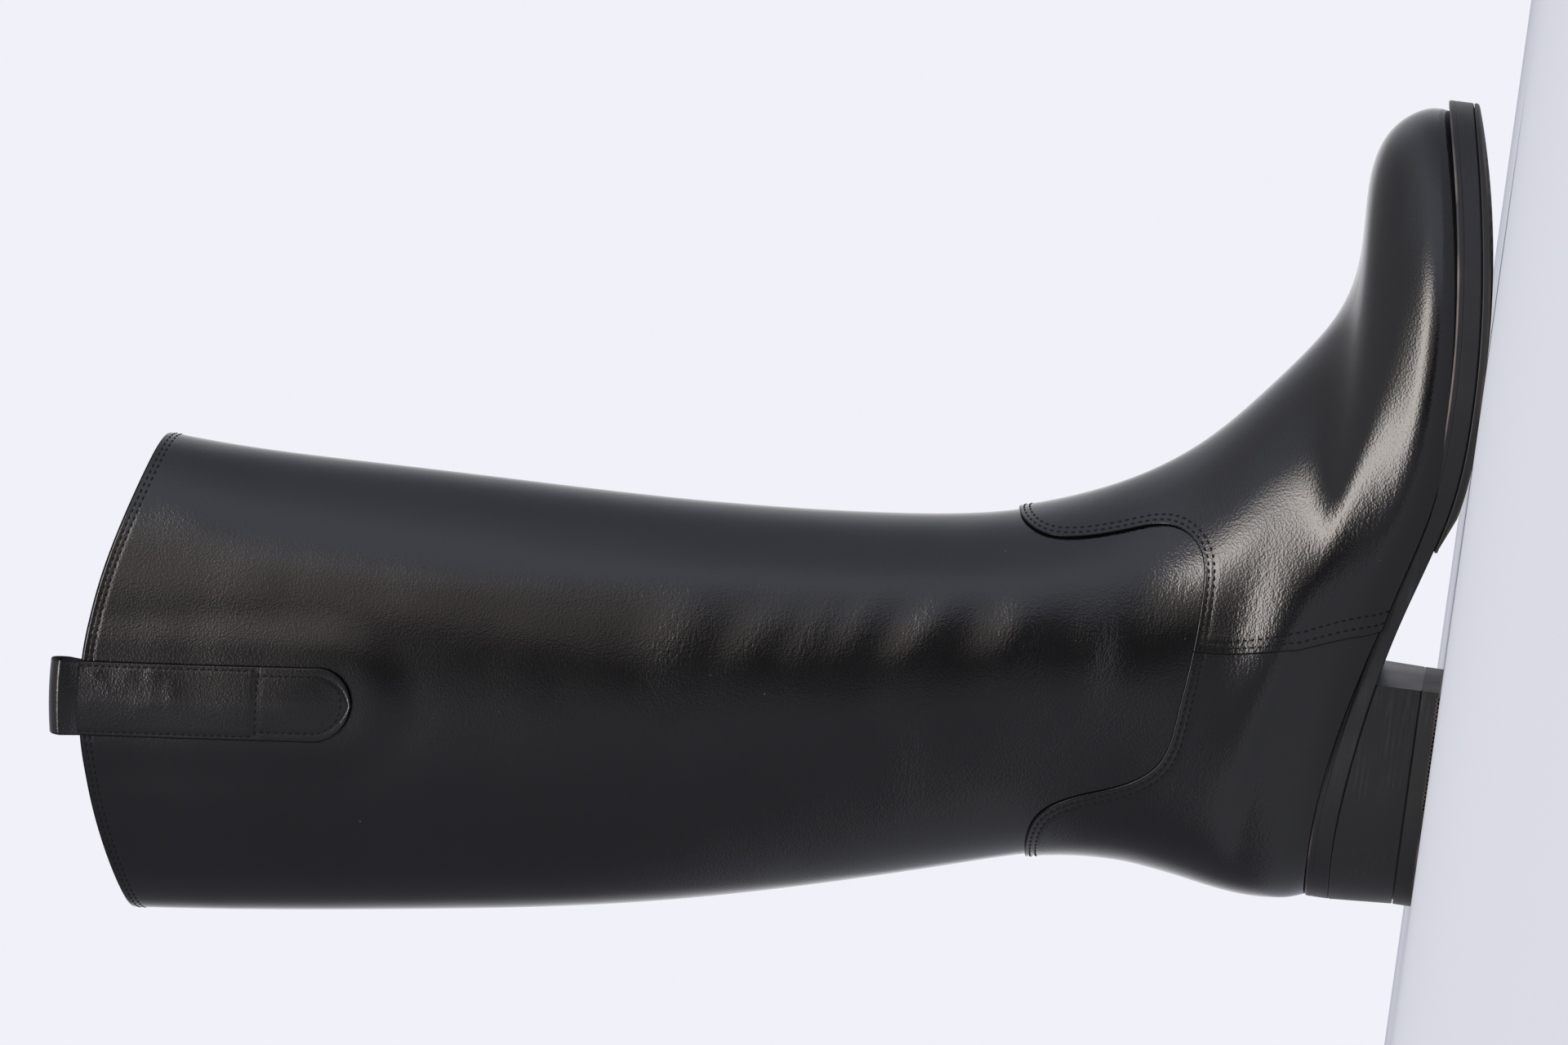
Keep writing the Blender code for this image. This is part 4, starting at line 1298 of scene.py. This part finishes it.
def make_insole_cover(leather):
    """The insole's leather, slightly hollow under the heel."""

    def inside(angle):
        return np.full_like(angle, INSOLE_MARGIN)

    def insole_top(x, across):
        hollow = SEAT_DEPTH * bump((across - 0.5) / SEAT_WIDTH) * bump((x - SEAT_STATION) / SEAT_LENGTH)
        return sole_top(x) + GAP + INSOLE_THICKNESS - hollow

    wall = ((TOP, 0.8, 0.0), (TOP, 0.25, 0.2), (TOP, 0.0, 0.8), (BOTTOM, 0.0, 0.3), (BOTTOM, 0.2, 0.0))
    heights = (insole_top, lambda x, across: sole_top(x) + GAP)
    layers = wall_layers((inside, inside), heights, wall)
    shape = sole_stack(foot_stations(), layers, SOLE_STRIPS)
    add_piece("insole_cover", shape, [leather], "insole")


def make_floor():
    """Plain pale floor under the sole, matt as seamless paper."""
    shape = bmesh.new()
    bmesh.ops.create_grid(shape, x_segments=8, y_segments=8, size=FLOOR_HALF)
    material, shader, _ = new_material("pale_studio_floor")
    wire(shader, {"Base Color": paint("#D5D9DE"), "Roughness": 1.0, "Specular IOR Level": 0.0})
    floor = add_mesh("floor", shape, [material])


def add_soft_box(name, azimuth, elevation, distance, size, radiance, colour):
    """A soft box that faces the middle of the boot."""
    turn, rise = math.radians(azimuth), math.radians(elevation)
    way = Vector((math.sin(turn) * math.cos(rise), -math.cos(turn) * math.cos(rise), math.sin(rise)))
    lamp = bpy.data.lights.new(name, "AREA")
    lamp.shape = "RECTANGLE"
    lamp.size, lamp.size_y = size
    lamp.energy = radiance * math.pi * size[0] * size[1]
    lamp.color = paint(colour)[:3]
    box = bpy.data.objects.new(name, lamp)
    box.location = Vector(BOOT_MIDDLE) + way * distance
    box.rotation_mode = "QUATERNION"
    box.rotation_quaternion = (-way).to_track_quat("-Z", "Y")
    bpy.context.scene.collection.objects.link(box)


def make_studio():
    """White surroundings with a darker side behind the camera, and soft boxes."""
    world = bpy.data.worlds.new("white_studio")
    world.use_nodes = True
    tree = world.node_tree
    tree.nodes.clear()
    node = partial(add_node, tree)
    way = node("TexCoord", "Generated")
    axes = node("SeparateXYZ", "X", {"Vector": way}).node.outputs
    along = node("MapRange", "Result", {"Value": axes["X"], "From Min": -1.0, "From Max": 1.0})
    glow = node("ValToRGB", "Color", {"Fac": along})
    stops = glow.node.color_ramp.elements
    while len(stops) < len(SIDE_GLOW):
        stops.new(0.5)
    for stop, (at, colour) in zip(stops, SIDE_GLOW):
        stop.position = at
        stop.color = (*colour, 1.0)
    behind = node("MapRange", "Result", {"Value": axes["Y"], "From Min": 0.35, "From Max": 0.8})
    above = node("MapRange", "Result", {"Value": axes["Z"], "From Min": 0.6, "From Max": 0.85})
    seen = node("LightPath", "Is Camera Ray")
    for share, colour in ((behind, paint("#F4F4FA")), (above, OVERHEAD_GLOW), (seen, paint("#F1F1F9"))):
        glow = node("Mix", "Result", {"Factor": share, "A": glow, "B": colour}, data_type="RGBA")
    light = node("Background", "Background", {"Color": glow, "Strength": 1.0})
    wire(tree.nodes.new("ShaderNodeOutputWorld"), {"Surface": light})
    bpy.context.scene.world = world
    for box in SOFT_BOXES:
        add_soft_box(*box)


def make_camera():
    """The photograph's viewpoint, rolled a quarter turn as the picture is."""
    lens = bpy.data.cameras.new("camera")
    lens.lens = CAMERA_LENS
    lens.sensor_width = CAMERA_SENSOR
    lens.clip_start, lens.clip_end = CAMERA_CLIP
    camera = bpy.data.objects.new("camera", lens)
    right, up = Vector(CAMERA_RIGHT), Vector(CAMERA_UP)
    turn = Matrix((right, up, right.cross(up))).transposed().to_4x4()
    camera.matrix_world = Matrix.Translation(CAMERA_PLACE) @ turn
    bpy.context.scene.collection.objects.link(camera)
    bpy.context.scene.camera = camera


calf = calf_leather("polished_black_calf", "#0A0A0B", "#0F0F11", (0.20, 0.26), "#8C8C92")
strap_calf = calf_leather("rubbed_black_calf", "#0A0A0B", "#111112", (0.22, 0.28), "#8C8C92")
lining = soft_leather("dark_lining_leather", "#1B1816", "#2A2623", 1.0)
insole_leather = soft_leather("brown_insole_leather", "#3A2D24", "#4A3A2E", 1.2)
# The fourth colour of each rubber is its pale rim: partly wear, partly a painted highlight of the edges that
# catch the light
rubber = moulded_rubber("satin_black_rubber", "#0E0E10", "#34343A", "#85786F", (0.36, 0.48))
tread_rubber = moulded_rubber("matt_black_rubber", "#0F0F10", "#38383D", "#7A6C63", (0.44, 0.56))
thread = waxed_thread("waxed_black_thread", "#040405", "#0C0C0D")

make_shaft(calf, lining)
seam_lines = make_foot(calf)
strap_stitch_lines = make_pull_strap(strap_calf)
make_stitches("seam_stitches", seam_lines, thread)
make_stitches("collar_stitches", collar_lines(), thread)
make_stitches("strap_stitches", strap_stitch_lines, thread)
make_sole_band(rubber)
make_forefoot_tread(tread_rubber)
make_heel_stack(rubber)
make_heel_lift(tread_rubber)
make_insole_cover(insole_leather)
make_floor()
make_studio()
make_camera()
bpy.context.scene.view_settings.view_transform = "Standard"
